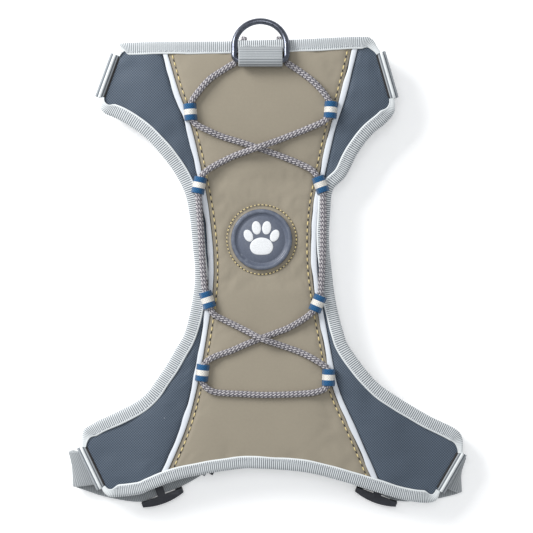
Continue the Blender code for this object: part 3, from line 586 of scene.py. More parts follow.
def grow(obj: bpy.types.Object, tree: bpy.types.NodeTree, **values: object) -> bpy.types.Object:
    """Runs a geometry tree on an object and keeps the plain mesh that it makes.

    Args:
        obj: the object whose mesh goes in.
        tree: the geometry tree.
        **values: the tree's inputs by name, with _ for a space.

    Returns:
        The same object with its new mesh and no modifier.
    """
    modifier = obj.modifiers.new("grow", "NODES")
    modifier.node_group = tree
    for item in tree.interface.items_tree:
        if item.in_out == "INPUT" and item.name.replace(" ", "_") in values:
            modifier[item.identifier] = values[item.name.replace(" ", "_")]
    depsgraph = bpy.context.evaluated_depsgraph_get()
    made = bpy.data.meshes.new_from_object(obj.evaluated_get(depsgraph), preserve_all_data_layers=True,
                                           depsgraph=depsgraph)
    obj.modifiers.clear()
    old, obj.data = obj.data, made
    bpy.data.meshes.remove(old)
    made.name = obj.name
    return obj


# ---------------------------------------------------------------- finishes

def colour(red: int, green: int, blue: int) -> tuple[float, float, float, float]:
    """A screen colour, 0 to 255, as the linear one that a shader takes."""
    linear = (((v / 255 + 0.055) / 1.055) ** 2.4 if v > 10 else v / 255 / 12.92 for v in (red, green, blue))
    return (*linear, 1.0)


class Cloth(Enum):
    """What a fabric finish draws its threads from."""

    WOVEN = "woven threads"
    RIBBED = "ribs raised on a tape"
    COATED = "smooth coated face"
    MESHED = "open knitted mesh"
    STRIPED = "three woven stripes"


@dataclass(frozen=True)
class FabricFinish:
    """How one cloth looks: pitch and relief are in millimetres."""

    slot: str
    kind: Cloth
    light: tuple[int, int, int]
    dark: tuple[int, int, int]
    pitch: float
    relief: float
    turn: float = 0.0
    roughness: float = 0.85
    sheen: float = 0.25
    mottle: float = 0.25
    stripe: tuple[int, int, int] = (0, 0, 0)
    lint: float = 0.0

    # how sharply the painted shade in rib valleys and hem grooves darkens
    RIB_SHADE_CONTRAST = 1.7

    def material(self, shared: SharedShading) -> bpy.types.Material:
        """Builds the material from the shared groups."""
        made = bpy.data.materials.new(self.slot)
        made.use_nodes = True
        bench = NodeBench(made.node_tree)
        shader = made.node_tree.nodes["Principled BSDF"]
        uv = bench.add("ShaderNodeUVMap", {"uv_map": "UVMap"}).outputs[0]
        weave = bench.call(shared.weave, Vector=uv, Pitch=self.pitch * MM, Turn=self.turn)
        grain = bench.call(shared.grain, Vector=uv, Size=1.6 * MM)
        light, dark = colour(*self.light), colour(*self.dark)
        height, mask = weave["Height"], weave["Over"]
        if self.kind is Cloth.RIBBED:
            # painted shade: the stored mark darkens rib valleys and the grooves of corner hems
            rib = bench.add("ShaderNodeAttribute", {"attribute_name": "rib"}).outputs["Fac"]
            mask = bench.math("POWER", rib, self.RIB_SHADE_CONTRAST)
        elif self.kind is Cloth.COATED:
            mask = bench.math("MULTIPLY_ADD", grain["Fine"], 0.5, 0.5)
            height = bench.math("MULTIPLY_ADD", grain["Fine"], 0.6, bench.math("MULTIPLY", height, 0.3))
        elif self.kind is Cloth.MESHED:
            cells = bench.add("ShaderNodeTexVoronoi", Vector=uv,
                              Scale=1 / (self.pitch * MM)).outputs["Distance"]
            mask = bench.add("ShaderNodeMapRange", Value=cells, From_Min=0.2, From_Max=0.45).outputs[0]
            height = mask
        base = bench.mix(mask, dark, light)
        if self.kind is Cloth.STRIPED:
            across = bench.add("ShaderNodeAttribute", {"attribute_name": "stripe"}).outputs["Fac"]
            white = bench.math("LESS_THAN", bench.math("ABSOLUTE", across), 0.33)
            base = bench.mix(white, base, bench.mix(mask, colour(206, 202, 194), colour(*self.stripe)))
        faded = bench.math("MULTIPLY", bench.math("SUBTRACT", grain["Blotch"], 0.5), self.mottle)
        uneven = bench.math("MULTIPLY", bench.math("SUBTRACT", grain["Value"], 0.5), self.mottle)
        tone = bench.math("ADD", bench.math("ADD", faded, uneven), 1.0)
        shown = bench.add("ShaderNodeHueSaturation", Color=base, Value=tone).outputs[0]
        if self.lint:
            speck = bench.call(shared.lint, Vector=uv)["Mask"]
            shown = bench.mix(bench.math("MULTIPLY", speck, self.lint), shown, colour(200, 205, 210))
        bench.feed(shader.inputs["Base Color"], shown)
        rough = bench.math("MULTIPLY_ADD", grain["Value"], 0.16, self.roughness - 0.08)
        bench.feed(shader.inputs["Roughness"], rough)
        shader.inputs["Sheen Weight"].default_value = self.sheen
        shader.inputs["Sheen Roughness"].default_value = 0.5
        total = bench.math("MULTIPLY_ADD", grain["Fine"], 0.25, height)
        bump = bench.add("ShaderNodeBump", Strength=0.8, Distance=self.relief * MM, Height=total)
        bench.feed(shader.inputs["Normal"], bump.outputs[0])
        return made


@dataclass(frozen=True)
class SolidFinish:
    """How a moulded, cast or spun piece looks, read from where it is in space."""

    slot: str
    base: tuple[int, int, int]
    worn: tuple[int, int, int]
    roughness: float
    metallic: float = 0.0
    grain_size: float = 1.2
    relief: float = 0.05
    coat: float = 0.0
    strand: Optional[tuple[int, int, int]] = None
    rubbed: float = 1.0

    def material(self, shared: SharedShading, name: str = "") -> bpy.types.Material:
        """Builds the material from the shared groups."""
        made = bpy.data.materials.new(name or self.slot)
        made.use_nodes = True
        bench = NodeBench(made.node_tree)
        shader = made.node_tree.nodes["Principled BSDF"]
        place = bench.add("ShaderNodeTexCoord").outputs["Object"]
        grain = bench.call(shared.grain, Vector=place, Size=self.grain_size * MM)
        wear = bench.call(shared.wear, Vector=place, Size=3 * MM)["Mask"]
        base = colour(*self.base)
        if self.strand:
            way = bench.add("ShaderNodeAttribute", {"attribute_name": "strand"}).outputs["Fac"]
            base = bench.mix(bench.math("MULTIPLY_ADD", way, 0.5, 0.5), base, colour(*self.strand))
        tone = bench.math("MULTIPLY_ADD", grain["Value"], 0.5, 0.75)
        tinted = bench.add("ShaderNodeHueSaturation", Color=base, Value=tone).outputs[0]
        worn = bench.mix(bench.math("MULTIPLY", wear, self.rubbed), tinted, colour(*self.worn))
        bench.feed(shader.inputs["Base Color"], worn)
        rough = bench.math("MULTIPLY_ADD", grain["Value"], 0.2, self.roughness - 0.1)
        bench.feed(shader.inputs["Roughness"], rough)
        shader.inputs["Metallic"].default_value = self.metallic
        shader.inputs["Coat Weight"].default_value = self.coat
        bump = bench.add("ShaderNodeBump", Strength=0.6, Distance=self.relief * MM, Height=grain["Fine"])
        bench.feed(shader.inputs["Normal"], bump.outputs[0])
        return made


class Palette:
    """Every finish on the harness, made once."""

    FABRICS = (
        FabricFinish("taupe_face", Cloth.COATED, (159, 150, 133), (146, 137, 120), 0.9, 0.05, mottle=0.1,
                     sheen=0.15),
        FabricFinish("slate_fabric", Cloth.WOVEN, (94, 109, 126), (37, 47, 60), 0.75, 0.12, roughness=0.62,
                     mottle=0.16,
                     sheen=0.3, lint=0.5),
        # grosgrain and webbing: the dark colour is painted shade in the valleys between ribs
        FabricFinish("grosgrain", Cloth.RIBBED, (236, 240, 241), (88, 96, 106), 0.5, 0.05, mottle=0.14),
        FabricFinish("webbing", Cloth.RIBBED, (182, 186, 188), (122, 127, 132), 0.8, 0.08, mottle=0.14),
        FabricFinish("reflective", Cloth.COATED, (230, 234, 240), (208, 215, 224), 0.6, 0.03, roughness=0.45,
                     mottle=0.08),
        FabricFinish("foam", Cloth.MESHED, (70, 70, 74), (40, 40, 43), 0.8, 0.1),
        FabricFinish("spacer_mesh", Cloth.MESHED, (62, 68, 78), (18, 20, 24), 2.2, 0.5),
        FabricFinish("loop_ribbon", Cloth.STRIPED, (22, 100, 150), (6, 60, 104), 0.75, 0.15,
                     stripe=(252, 248, 240), mottle=0.2),
    )
    SOLIDS = (
        SolidFinish("badge_rubber", (93, 100, 116), (140, 147, 160), 0.42, grain_size=0.8, relief=0.04,
                    coat=0.1),
        SolidFinish("braided_cord", (194, 190, 192), (194, 190, 192), 0.75, grain_size=0.6,
                    strand=(104, 101, 109),
                    rubbed=0.0),
        SolidFinish("ring_wire", (92, 96, 108), (165, 170, 178), 0.28, metallic=1.0, grain_size=2.0,
                    relief=0.01,
                    coat=0.3),
        SolidFinish("buckle_plastic", (44, 46, 54), (96, 98, 106), 0.5, grain_size=0.5, relief=0.05),
    )
    # the dark thread stands for painted shade: needle holes and the gap beside each corner hem
    THREADS = {"tan": (238, 218, 156), "grey": (196, 200, 206), "dark": (38, 36, 36),
               "white": (238, 240, 242)}

    def __init__(self) -> None:
        """Makes every finish once."""
        shared = SharedShading()
        self._made = {f.slot: f.material(shared) for f in self.FABRICS + self.SOLIDS}
        for name, shade in self.THREADS.items():
            spun = SolidFinish(f"{name}_thread", shade, shade, 0.7, grain_size=0.4, relief=0.08, rubbed=0.0)
            self._made[spun.slot] = spun.material(shared)

    def __getitem__(self, slot: str) -> bpy.types.Material:
        """The material of one slot."""
        return self._made[slot]


class Workshop:
    """What every maker shares: the finishes, the trees, and how a made piece joins the frame."""

    def __init__(self) -> None:
        """Readies the finishes and the trees."""
        self.palette = Palette()
        self.trees = GrowingTrees()

    def settle(self, obj: bpy.types.Object, slot: str, replaces: Sequence[str] = (),
               body: str = "root") -> bpy.types.Object:
        """Hangs a finished piece on its body and hides the CAD nodes that it stands for.

        Args:
            obj: the piece.
            slot: its material slot; not used.
            replaces: the CAD nodes.
            body: the body it rides on.

        Returns:
            The same object.
        """
        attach(obj, body)
        return self.label(obj, slot, replaces)

    def label(self, obj: bpy.types.Object, slot: str, replaces: Sequence[str] = ()) -> bpy.types.Object:
        """Hides the CAD nodes that a finished piece stands for, and logs its face count."""
        if replaces:
            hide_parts(*replaces)
        LOG.info("%-24s %7d faces", obj.name, face_count(obj))
        return obj

    def ribbed(self, obj: bpy.types.Object, slot: str, pitch: float, depth: float) -> bpy.types.Object:
        """Raises ribs on a tape, keeps painted shade for their valleys, and gives it its finish."""
        return grow(obj, self.trees.ribs, Pitch=pitch, Depth=depth * MM, Finish=self.palette[slot])

    def sew(self, name: str, lines: Iterable[np.ndarray], thread: str, pitch: float = 4.0,
            length: float = 2.7,
            thick: float = 0.55, slot: str = "webbing") -> bpy.types.Object:
        """Runs of stitches along lines, as one piece on the root body.

        Args:
            name: the piece's name.
            lines: where they run.
            thread: a key of THREADS.
            pitch: the spacing.
            length: one stitch's length.
            thick: its thickness.
            slot: its material slot; not used.

        Returns:
            The stitches as a plain mesh.
        """
        obj = link(bpy.data.objects.new(name, path_mesh(name, lines)))
        grow(obj, self.trees.stitches, Pitch=pitch * MM, Length=length * MM, Thickness=thick * MM,
             Thread=self.palette[f"{thread}_thread"])
        return self.settle(obj, slot)


# ---------------------------------------------------------------- plans of the two panels

@dataclass(frozen=True)
class BackPlan:
    """Outline, seams and levels of the back panel."""

    top: Points = ((-82.8, 115.1), (-80.3, 119.4), (-75.4, 121.6), (-18.7, 122.1), (13.2, 122.9),
                   (50.7, 124.7), (58, 123.5), (61.1, 119.1), (63, 116.2))
    bottom: Points = ((-90.8, -123.9), (-88, -127.3), (-83.7, -128.5), (-69.7, -126.7), (-62.7, -123.9),
                      (-48.6, -118.6), (-34.6, -115.5), (-20.6, -113.4), (-8.8, -112.3), (13.2, -113.5),
                      (26.5, -115.4), (43.2, -119.8), (59.8, -125.1), (76.5, -130.1), (87.8, -131.8),
                      (93.8, -130.5), (96.3, -125.5))
    left: Points = ((-102, -100.8), (-100.9, -92.3), (-94.3, -87.5), (-69.7, -74.8), (-58.3, -61),
                    (-50, -47.3), (-43.9, -35.2), (-39.2, -9.9), (-40.6, 12.7), (-42.5, 29.4),
                    (-45.3, 40.6), (-52.9, 54), (-66.4, 69.7), (-79.9, 78.9), (-89.4, 83.4),
                    (-91.6, 87.6), (-91.6, 91.5))
    right: Points = ((108.5, -104.4), (108.5, -96.5), (104.5, -91.1), (89.8, -83.8), (73.2, -73.8),
                     (59.8, -63.8), (46.2, -46.2), (42.4, -36.7), (38.5, -21), (36.3, -4.3), (34.8, 12.5),
                     (35.5, 29.4), (36.9, 40.7), (43.9, 48.3), (50.7, 61.2), (58, 70.8), (66, 77.6),
                     (70.4, 83), (71, 87.4), (70.4, 91))
    left_seam: Points = ((-57, 121), (-55.2, 114.6), (-49.2, 93.8), (-43.5, 78.7), (-37.2, 52.8),
                         (-32.1, 23.8), (-30.2, -4.3), (-32.8, -31.1), (-39.3, -67.6), (-45.8, -90.9),
                         (-55, -112.7), (-58.2, -121))
    right_seam: Points = ((49.6, 123.2), (48.4, 116.8), (42, 91), (36.6, 74.5), (31.6, 52.3),
                          (27.3, 29.4), (26.3, 6.9), (28.2, -15.5), (33.7, -45.7), (38.2, -68.2),
                          (47.9, -90.5), (59.2, -116.4), (62, -124.2))
    axis_x: float = -3.0
    waist: float = 8.4
    neck_rise: float = 4.6
    tail_rise: float = 2.0
    wing_drop: float = 6.0
    inset: float = 1.5
    lining: tuple[float, float] = (1.1, 2.0)
    core: tuple[float, float] = (2.3, 6.1)
    face: tuple[float, float] = (6.6, 7.4)
    total: float = 8.4

    def height(self, x: np.ndarray, y: np.ndarray) -> np.ndarray:
        """Underside of the panel: raised over the chest ring and buckles, its wings drooping."""
        middle = self.waist + self.neck_rise * ease((y - 40) / 60) + self.tail_rise * ease((-30 - y) / 40)
        return middle - self.wing_drop * ease((np.abs(x - self.axis_x) - 42) / 62)

    def outline(self, inset: float) -> tuple[np.ndarray, np.ndarray, np.ndarray, np.ndarray]:
        """Bottom, right, top and left edges, moved in by inset and joined at the corners."""
        bottom, top = shifted(spline(self.bottom, 60), inset), shifted(spline(self.top, 50), -inset)
        left, right = shifted(spline(self.left, 70), -inset), shifted(spline(self.right, 70), inset)
        left = np.vstack([bottom[:1], left, top[:1]])
        right = np.vstack([bottom[-1:], right, top[-1:]])
        return bottom, right, top, left

    def seam(self, side: str, toward_middle: float) -> np.ndarray:
        """A seam from tail to neck, moved towards the middle of the panel and cut to its outline."""
        bottom, _, top, _ = self.outline(self.inset)
        points = self.left_seam if side == "left" else self.right_seam
        line = shifted(spline(points, 50), toward_middle if side == "left" else -toward_middle)[::-1]
        ends = [np.interp(line[k, 0], edge[:, 0], edge[:, 1]) for k, edge in ((0, bottom), (-1, top))]
        inside = (line[:, 1] > ends[0] + 2) & (line[:, 1] < ends[1] - 2)
        return np.vstack([(line[0, 0], ends[0]), line[inside], (line[-1, 0], ends[1])])


@dataclass(frozen=True)
class ChestPlan:
    """Outline and levels of the chest panel, which lies under the back panel face down."""

    top: Points = ((-42.3, 103), (-38, 109.4), (-28, 113.6), (-2.8, 115.1), (22.5, 113.6), (32.5, 109.4),
                   (36.8, 104.5))
    left: Points = ((-18.4, -50.7), (-23, -42), (-26.5, -28), (-29, 0), (-32.5, 30), (-37, 55), (-42, 70),
                    (-48.7, 82))
    right: Points = ((23.4, -50.7), (26.5, -38), (28.5, -25), (28.8, 0), (29, 30), (31, 55), (36, 72),
                     (43.2, 83.5))
    bottom: Points = ((-18.4, -50.7), (-1, -60.7), (2.5, -61.6), (6, -60.7), (23.4, -50.7))
    inset: float = 1.5
    face: tuple[float, float] = (0.9, 1.6)
    core: tuple[float, float] = (1.9, 4.6)
    lining: tuple[float, float] = (4.9, 5.6)
    total: float = 6.6

    def height(self, x: np.ndarray, y: np.ndarray) -> np.ndarray:
        """Underside of the panel, which rises towards the neck."""
        return 0.6 + 5.0 * ease((y - 52) / 52)

    def outline(self) -> tuple[np.ndarray, np.ndarray, np.ndarray, np.ndarray]:
        """Bottom, right, top and left edges of the sheets inside the bindings."""
        bottom, top = spline(self.bottom, 20), shifted(spline(self.top, 30), -self.inset)
        left, right = shifted(spline(self.left, 40), -self.inset), shifted(spline(self.right, 40), self.inset)
        bottom[0], bottom[-1] = left[0], right[0]
        return bottom, np.vstack([right, top[-1:]]), top, np.vstack([left, top[:1]])


def cut_at(edge: np.ndarray, x: float) -> tuple[np.ndarray, np.ndarray]:
    """The two parts of a left-to-right edge on either side of x."""
    point = np.array([x, np.interp(x, edge[:, 0], edge[:, 1])])
    return np.vstack([edge[edge[:, 0] < x - 0.5], point]), np.vstack([point, edge[edge[:, 0] > x + 0.5]])


# ---------------------------------------------------------------- sheets of cloth

@dataclass
class ClothSheet:
    """A cut sheet of cloth over foam, swollen between the lines that hold it down."""

    name: str
    edges: tuple[np.ndarray, np.ndarray, np.ndarray, np.ndarray]
    height: Height
    levels: tuple[float, float]
    sewn: Sequence[np.ndarray] = ()
    swell: float = 0.0
    dip: float = 0.0
    step: float = 3.0
    edge_drop: float = 0.0
    wrinkled: bool = False

    LEAST_SHARE = 0.31  # a crescent's area fills no less of the strip that it is cut from
    RELAX_STEP = 3.4
    RELAX_FRAMES = 20
    LIMIT = 0.5

    def relief(self, grid: np.ndarray) -> np.ndarray:
        """How far the cloth stands above its flat level at each point."""
        if not (self.swell or self.dip):
            return np.zeros(grid.shape[:2])
        border = distance_to(grid, self.edges)
        held = np.minimum(border, distance_to(grid, self.sewn)) if self.sewn else border
        lift = self.swell * (1 - np.exp(-((held / 7.0) ** 2)))
        if self.sewn:
            lift = lift - self.dip * np.exp(-((distance_to(grid, self.sewn) / 1.2) ** 2))
        return lift - self.edge_drop * np.exp(-((border / 1.4) ** 2))

    def wrinkles(self, shape: tuple[int, int]) -> np.ndarray:
        """Small folds from relaxing the sheet, held at its edge and sewn lines, over a coarse grid."""
        coarse = patch(*self.edges, self.RELAX_STEP)
        rows, cols = coarse.shape[:2]
        rng = np.random.default_rng(len(self.name))
        start = np.dstack([coarse, self.height(coarse[..., 0], coarse[..., 1])])
        start[..., 2] += rng.normal(0, 0.05, (rows, cols))
        sheet = make_mesh(f"{self.name}_relax", start.reshape(-1, 3), grid_faces(rows, cols))
        sewn = distance_to(coarse, self.sewn) if self.sewn else 1e9
        near = np.minimum(distance_to(coarse, self.edges), sewn)
        group = sheet.vertex_groups.new(name="held")
        group.add([int(n) for n in np.flatnonzero(near.ravel() < 2.0)], 1.0, "REPLACE")
        cloth = sheet.modifiers.new("relax", "CLOTH")
        cloth.settings.quality = 6
        cloth.settings.mass = 0.05
        cloth.settings.vertex_group_mass = "held"
        cloth.settings.use_pressure = True
        cloth.settings.uniform_pressure_force = 1.0
        cloth.settings.shrink_min = -0.012
        cloth.settings.bending_stiffness = 0.05
        cloth.settings.effector_weights.gravity = 0.0
        cloth.collision_settings.use_collision = False
        cloth.point_cache.frame_end = self.RELAX_FRAMES
        for number in range(1, self.RELAX_FRAMES + 1):
            bpy.context.scene.frame_set(number)
        depsgraph = bpy.context.evaluated_depsgraph_get()
        moved = np.zeros(rows * cols * 3, np.float32)
        sheet.evaluated_get(depsgraph).data.vertices.foreach_get("co", moved)
        lift = moved.reshape(rows, cols, 3)[..., 2] / MM - start[..., 2]
        bpy.data.objects.remove(sheet)
        bpy.context.scene.frame_set(1)
        lift = self.LIMIT * np.tanh(np.nan_to_num(lift) / self.LIMIT)
        across = np.linspace(0, cols - 1, shape[1])
        fine = np.stack([np.interp(across, np.arange(cols), row) for row in lift])
        down = np.linspace(0, rows - 1, shape[0])
        fine = np.stack([np.interp(down, np.arange(rows), column) for column in fine.T], axis=1)
        for _ in range(2):
            beside = fine[:-2, 1:-1] + fine[2:, 1:-1] + fine[1:-1, :-2] + fine[1:-1, 2:]
            fine[1:-1, 1:-1] = (fine[1:-1, 1:-1] * 2 + beside) / 6
        return fine

    def build(self, material: bpy.types.Material) -> bpy.types.Object:
        """Makes the closed sheet."""
        grid = patch(*self.edges, self.step)
        base = self.height(grid[..., 0], grid[..., 1])
        lift = self.relief(grid)
        if self.wrinkled:
            lift = lift + self.wrinkles(grid.shape[:2])
        top = np.dstack([grid, base + self.levels[1] + lift])
        bottom = np.dstack([grid, base + self.levels[0] + np.minimum(lift, 0)])
        return slab(self.name, top, bottom, material)

    def declare(self, obj: bpy.types.Object, rests_on: Sequence[str]) -> None:
        """Takes the sheet and what it rests on, and does nothing with them."""


@dataclass
class BindingTape:
    """Ribbed tape folded round an edge, with a plain selvedge on its inner side."""

    name: str
    line: np.ndarray
    inward: int
    total: float
    height: Height
    width: float = 7.0
    step: float = 0.18
    hump: Optional[Callable[[np.ndarray], np.ndarray]] = None
    seed: int = 5

    RIB_PITCH = 1.1
    RIB_DEPTH = 0.25
    TURN_REACH = 10.0
    TAPER = 13.0

    def section(self) -> list[tuple[float, float, float]]:
        """Inward offset, level and how strongly ribbed, round the folded tape."""
        w, t = self.width, self.total
        return [(w, t - 0.5, 0), (w - 0.15, t - 0.1, 0), (w - 0.75, t + 0.05, 0.15), (w - 1.1, t - 0.03, 0.9),
                (w - 2.6, t + 0.05, 1), (w - 4.4, t + 0.05, 1), (1.5, t, 1), (0.5, t - 0.45, 1),
                (0.0, t - 1.5, 1), (-0.05, t / 2, 1), (0.0, 1.5, 1), (0.5, 0.45, 1), (1.5, 0.05, 1),
                (w - 3.0, 0.0, 1), (w, 0.1, 0), (w, 0.75, 0), (1.5, 0.8, 0), (0.9, 1.6, 0),
                (0.9, t - 1.6, 0), (1.5, t - 0.8, 0)]

    def build(self, shop: Workshop) -> bpy.types.Object:
        """Makes the tape with its ribs."""
        length = run_length(self.line)[-1]
        curve = resampled(self.line, round(length / self.step))
        along = run_length(curve)
        normal = smoothed(left_normals(curve) * self.inward, round(self.TURN_REACH / self.step))
        section = np.array(self.section())
        from_end = np.minimum(along, along[-1] - along)
        breathe = (1 + 0.03 * ripple(along, self.seed, 37)) * (0.4 + 0.6 * ease(from_end / self.TAPER))
        offset = section[None, :, 0] * breathe[:, None]
        plan = curve[:, None, :] + normal[:, None, :] * offset[..., None]
        level = self.height(plan[..., 0], plan[..., 1]) + section[None, :, 1]
        upper = ease((section[:, 1] - self.total * 0.6) / 1.5)
        level = level + 0.12 * ripple(along, self.seed + 1, 23)[:, None] * upper[None]
        if self.hump:
            level = level + self.hump(plan[..., 0]) * upper[None]
        rings = np.dstack([plan, level])
        spread = np.r_[0, np.cumsum(np.hypot(*np.diff(section[:, :2], axis=0).T))]
        uv = np.stack([np.tile(spread, (len(curve), 1)), np.tile(along[:, None], (1, len(section)))], axis=-1)
        plain = ease((from_end - 2) / 10)
        ribbed = (plain[:, None] * section[None, :, 2]).ravel()
        marks = {"along": np.repeat(along, len(section)), "ribbed": ribbed}
        obj = sweep(self.name, rings, None, uv=uv.reshape(-1, 2), marks=marks)
        return shop.ribbed(obj, "grosgrain", self.RIB_PITCH, self.RIB_DEPTH)

    def stitch_line(self, offset: float) -> np.ndarray:
        """The row of stitches that holds the tape, a little inside its inner edge."""
        curve = resampled(self.line, 160)[9:-9]
        plan = curve + left_normals(curve) * self.inward * offset
        level = self.height(plan[:, 0], plan[:, 1]) + self.total + 0.12
        if self.hump:
            level = level + self.hump(plan[:, 0])
        return np.column_stack([plan, level])


@dataclass
class WovenBand:
    """Flat webbing between two rails, its edges rounded and its weft ribs raised."""

    name: str
    left: Points
    right: Points
    thick: float
    pitch: float = 0.95
    depth: float = 0.08
    step: float = 0.2

    EDGE = ((-1, -0.2), (-0.985, -0.42), (-0.93, -0.5), (-0.5, -0.5), (0, -0.5), (0.5, -0.5),
            (0.93, -0.5), (0.985, -0.42), (1, -0.2), (1, 0.2), (0.985, 0.42), (0.93, 0.5), (0.5, 0.5),
            (0, 0.5), (-0.5, 0.5), (-0.93, 0.5), (-0.985, 0.42), (-1, 0.2))

    def rails(self, count: int) -> tuple[np.ndarray, np.ndarray, np.ndarray, np.ndarray]:
        """Middle, half width, upward direction and distance along, at count places."""
        a, b = spline(self.left, count), spline(self.right, count)
        middle, side = (a + b) / 2, (b - a) / 2
        up = np.cross(np.gradient(middle, axis=0), side)
        up /= np.linalg.norm(up, axis=1)[:, None]
        return middle, side, up, run_length(middle)

    @property
    def length(self) -> float:
        """Length along the middle of the band."""
        return float(self.rails(200)[3][-1])

    @property
    def width(self) -> float:
        """Widest part of the band."""
        return float(np.linalg.norm(self.rails(60)[1], axis=1).max() * 2)

    def build(self, shop: Workshop) -> bpy.types.Object:
        """Makes the band with its ribs."""
        middle, side, up, along = self.rails(round(self.length / self.step))
        edge = np.array(self.EDGE)
        rings = middle[:, None] + side[:, None] * edge[None, :, :1]
        rings = rings + up[:, None] * edge[None, :, 1:] * self.thick
        across = edge[None, :, 0] * np.linalg.norm(side, axis=1)[:, None]
        uv = np.stack([across, np.tile(along[:, None], (1, len(edge)))], axis=-1)
        flat = np.where(np.abs(edge[:, 0]) > 0.95, 0.25, 1.0)
        marks = {"along": np.repeat(along, len(edge)), "ribbed": np.tile(flat, len(middle))}
        obj = sweep(self.name, rings, None, uv=uv.reshape(-1, 2), marks=marks)
        return shop.ribbed(obj, "webbing", self.pitch, self.depth)

    def declare(self, obj: bpy.types.Object, rests_on: Sequence[str]) -> None:
        """Logs the band's flat size."""
        LOG.info("%-24s tape %.1f x %.0f mm", obj.name, self.width, self.length)
        self.width * MM
        self.length * MM


# ---------------------------------------------------------------- the studio

@dataclass
class Studio:
    """Camera straight above, a pale floor, and soft light from the upper left."""

    middle: tuple[float, float] = (0.3, -1.4)
    shown: float = 293.0
    panel_level: float = 16.0
    distance: float = 1200.0
    key_power: float = 11.5
    top_power: float = 4.5
    fill_power: float = 0.6
    sky: float = 0.46

    def camera(self) -> None:
        """Sets the camera so that the width shown fills the picture at the panel's level."""
        data = bpy.data.cameras.new("camera")
        data.sensor_width = 36.0
        data.lens = 36.0 * self.distance / self.shown
        data.clip_start, data.clip_end = 0.05, 20.0
        camera = link(bpy.data.objects.new("camera", data))
        camera.location = (self.middle[0] * MM, self.middle[1] * MM, (self.distance + self.panel_level) * MM)
        bpy.context.scene.camera = camera
        bpy.context.scene.view_settings.view_transform = "Standard"

    def light(self, name: str, place: tuple[float, float, float], size: float, power: float) -> None:
        """A square soft light that faces the harness."""
        data = bpy.data.lights.new(name, "AREA")
        data.shape, data.size, data.energy = "SQUARE", size, power
        obj = link(bpy.data.objects.new(name, data))
        obj.location = place
        away = obj.location.normalized()
        obj.rotation_mode = "QUATERNION"
        obj.rotation_quaternion = away.to_track_quat("Z", "Y")

    def build(self) -> None:
        """Makes the camera, the lights, the sky and the floor."""
        self.camera()
        self.light("key", (-0.75, 0.6, 0.6), 0.5, self.key_power)
        self.light("top", (-0.15, 0.3, 1.7), 0.6, self.top_power)
        self.light("fill", (0.95, -0.5, 1.2), 1.2, self.fill_power)
        world = bpy.data.worlds.new("sky")
        world.use_nodes = True
        world.node_tree.nodes["Background"].inputs["Color"].default_value = (0.94, 0.97, 1.0, 1.0)
        world.node_tree.nodes["Background"].inputs["Strength"].default_value = self.sky
        bpy.context.scene.world = world
        floor = make_mesh("floor", np.array([(-3000, -3000, -0.4), (3000, -3000, -0.4), (3000, 3000, -0.4),
                                             (-3000, 3000, -0.4)]), [[0, 1, 2, 3]])
        card = bpy.data.materials.new("white_card")
        card.use_nodes = True
        shader = card.node_tree.nodes["Principled BSDF"]
        shader.inputs["Base Color"].default_value = (0.98, 0.98, 0.98, 1.0)
        shader.inputs["Roughness"].default_value = 0.9
        shader.inputs["Emission Color"].default_value = (1.0, 1.0, 1.0, 1.0)
        shader.inputs["Emission Strength"].default_value = 0.3
        floor.data.materials.append(card)
        LOG.info("studio ready")


# ---------------------------------------------------------------- cord and its loops

# plan places that the cord's middle passes through, from one of its ends to the other
CORD_ROUTE: Points = (
    (-16.6, 110.1), (-22.5, 106.6), (-30.5, 101.2), (-37.4, 93.5), (-40.8, 88.3), (-41.6, 82.2),
    (-38.6, 76.8), (-31.5, 73), (-24.2, 69.9), (-14.3, 66.8), (-4.1, 63.6), (4.6, 60.5), (13.2, 57.2),
    (20, 54.3), (25.4, 51.3), (28.9, 46.5), (31, 40.6), (31.4, 32), (31.5, 22), (31.3, 12.5), (31, 2),
    (30.5, -8.5), (29.6, -18.3), (27.2, -24.2), (22.4, -29), (13.2, -34.7), (5.4, -37.8), (-2.5, -40.7),
    (-11.2, -44.2), (-19.8, -47.9), (-27.5, -50.6), (-32.9, -53.9), (-35.2, -60), (-34, -66.2),
    (-28.9, -69.9), (-21.5, -70.9), (-14.3, -71.2), (-7, -71.6), (0.3, -71.8), (9.5, -71.6),
    (18.7, -71.2), (27.2, -70.2), (32.8, -67.7), (34.5, -62.7), (33.4, -57.2), (26.5, -52.3),
    (18.7, -48.4), (8.1, -44.6), (-2.5, -40.9), (-9.8, -37.2), (-17.1, -33.6), (-24, -30.2),
    (-28.6, -27.6), (-30.9, -23.1), (-33, -16.6), (-34.2, -7), (-34.9, 2.5), (-35.4, 12.5), (-36, 22),
    (-36.7, 31.5), (-37.2, 40.6), (-35.9, 46.5), (-31.8, 51.7), (-19.8, 58.2), (-12, 61.2), (-4.1, 63.8),
    (4.6, 67), (13.2, 70.3), (23.4, 74.3), (32.2, 78.4), (35.8, 83.6), (34.4, 89.4), (29.7, 95.7),
    (24, 101.2), (17.5, 106), (10.9, 110.3),
)


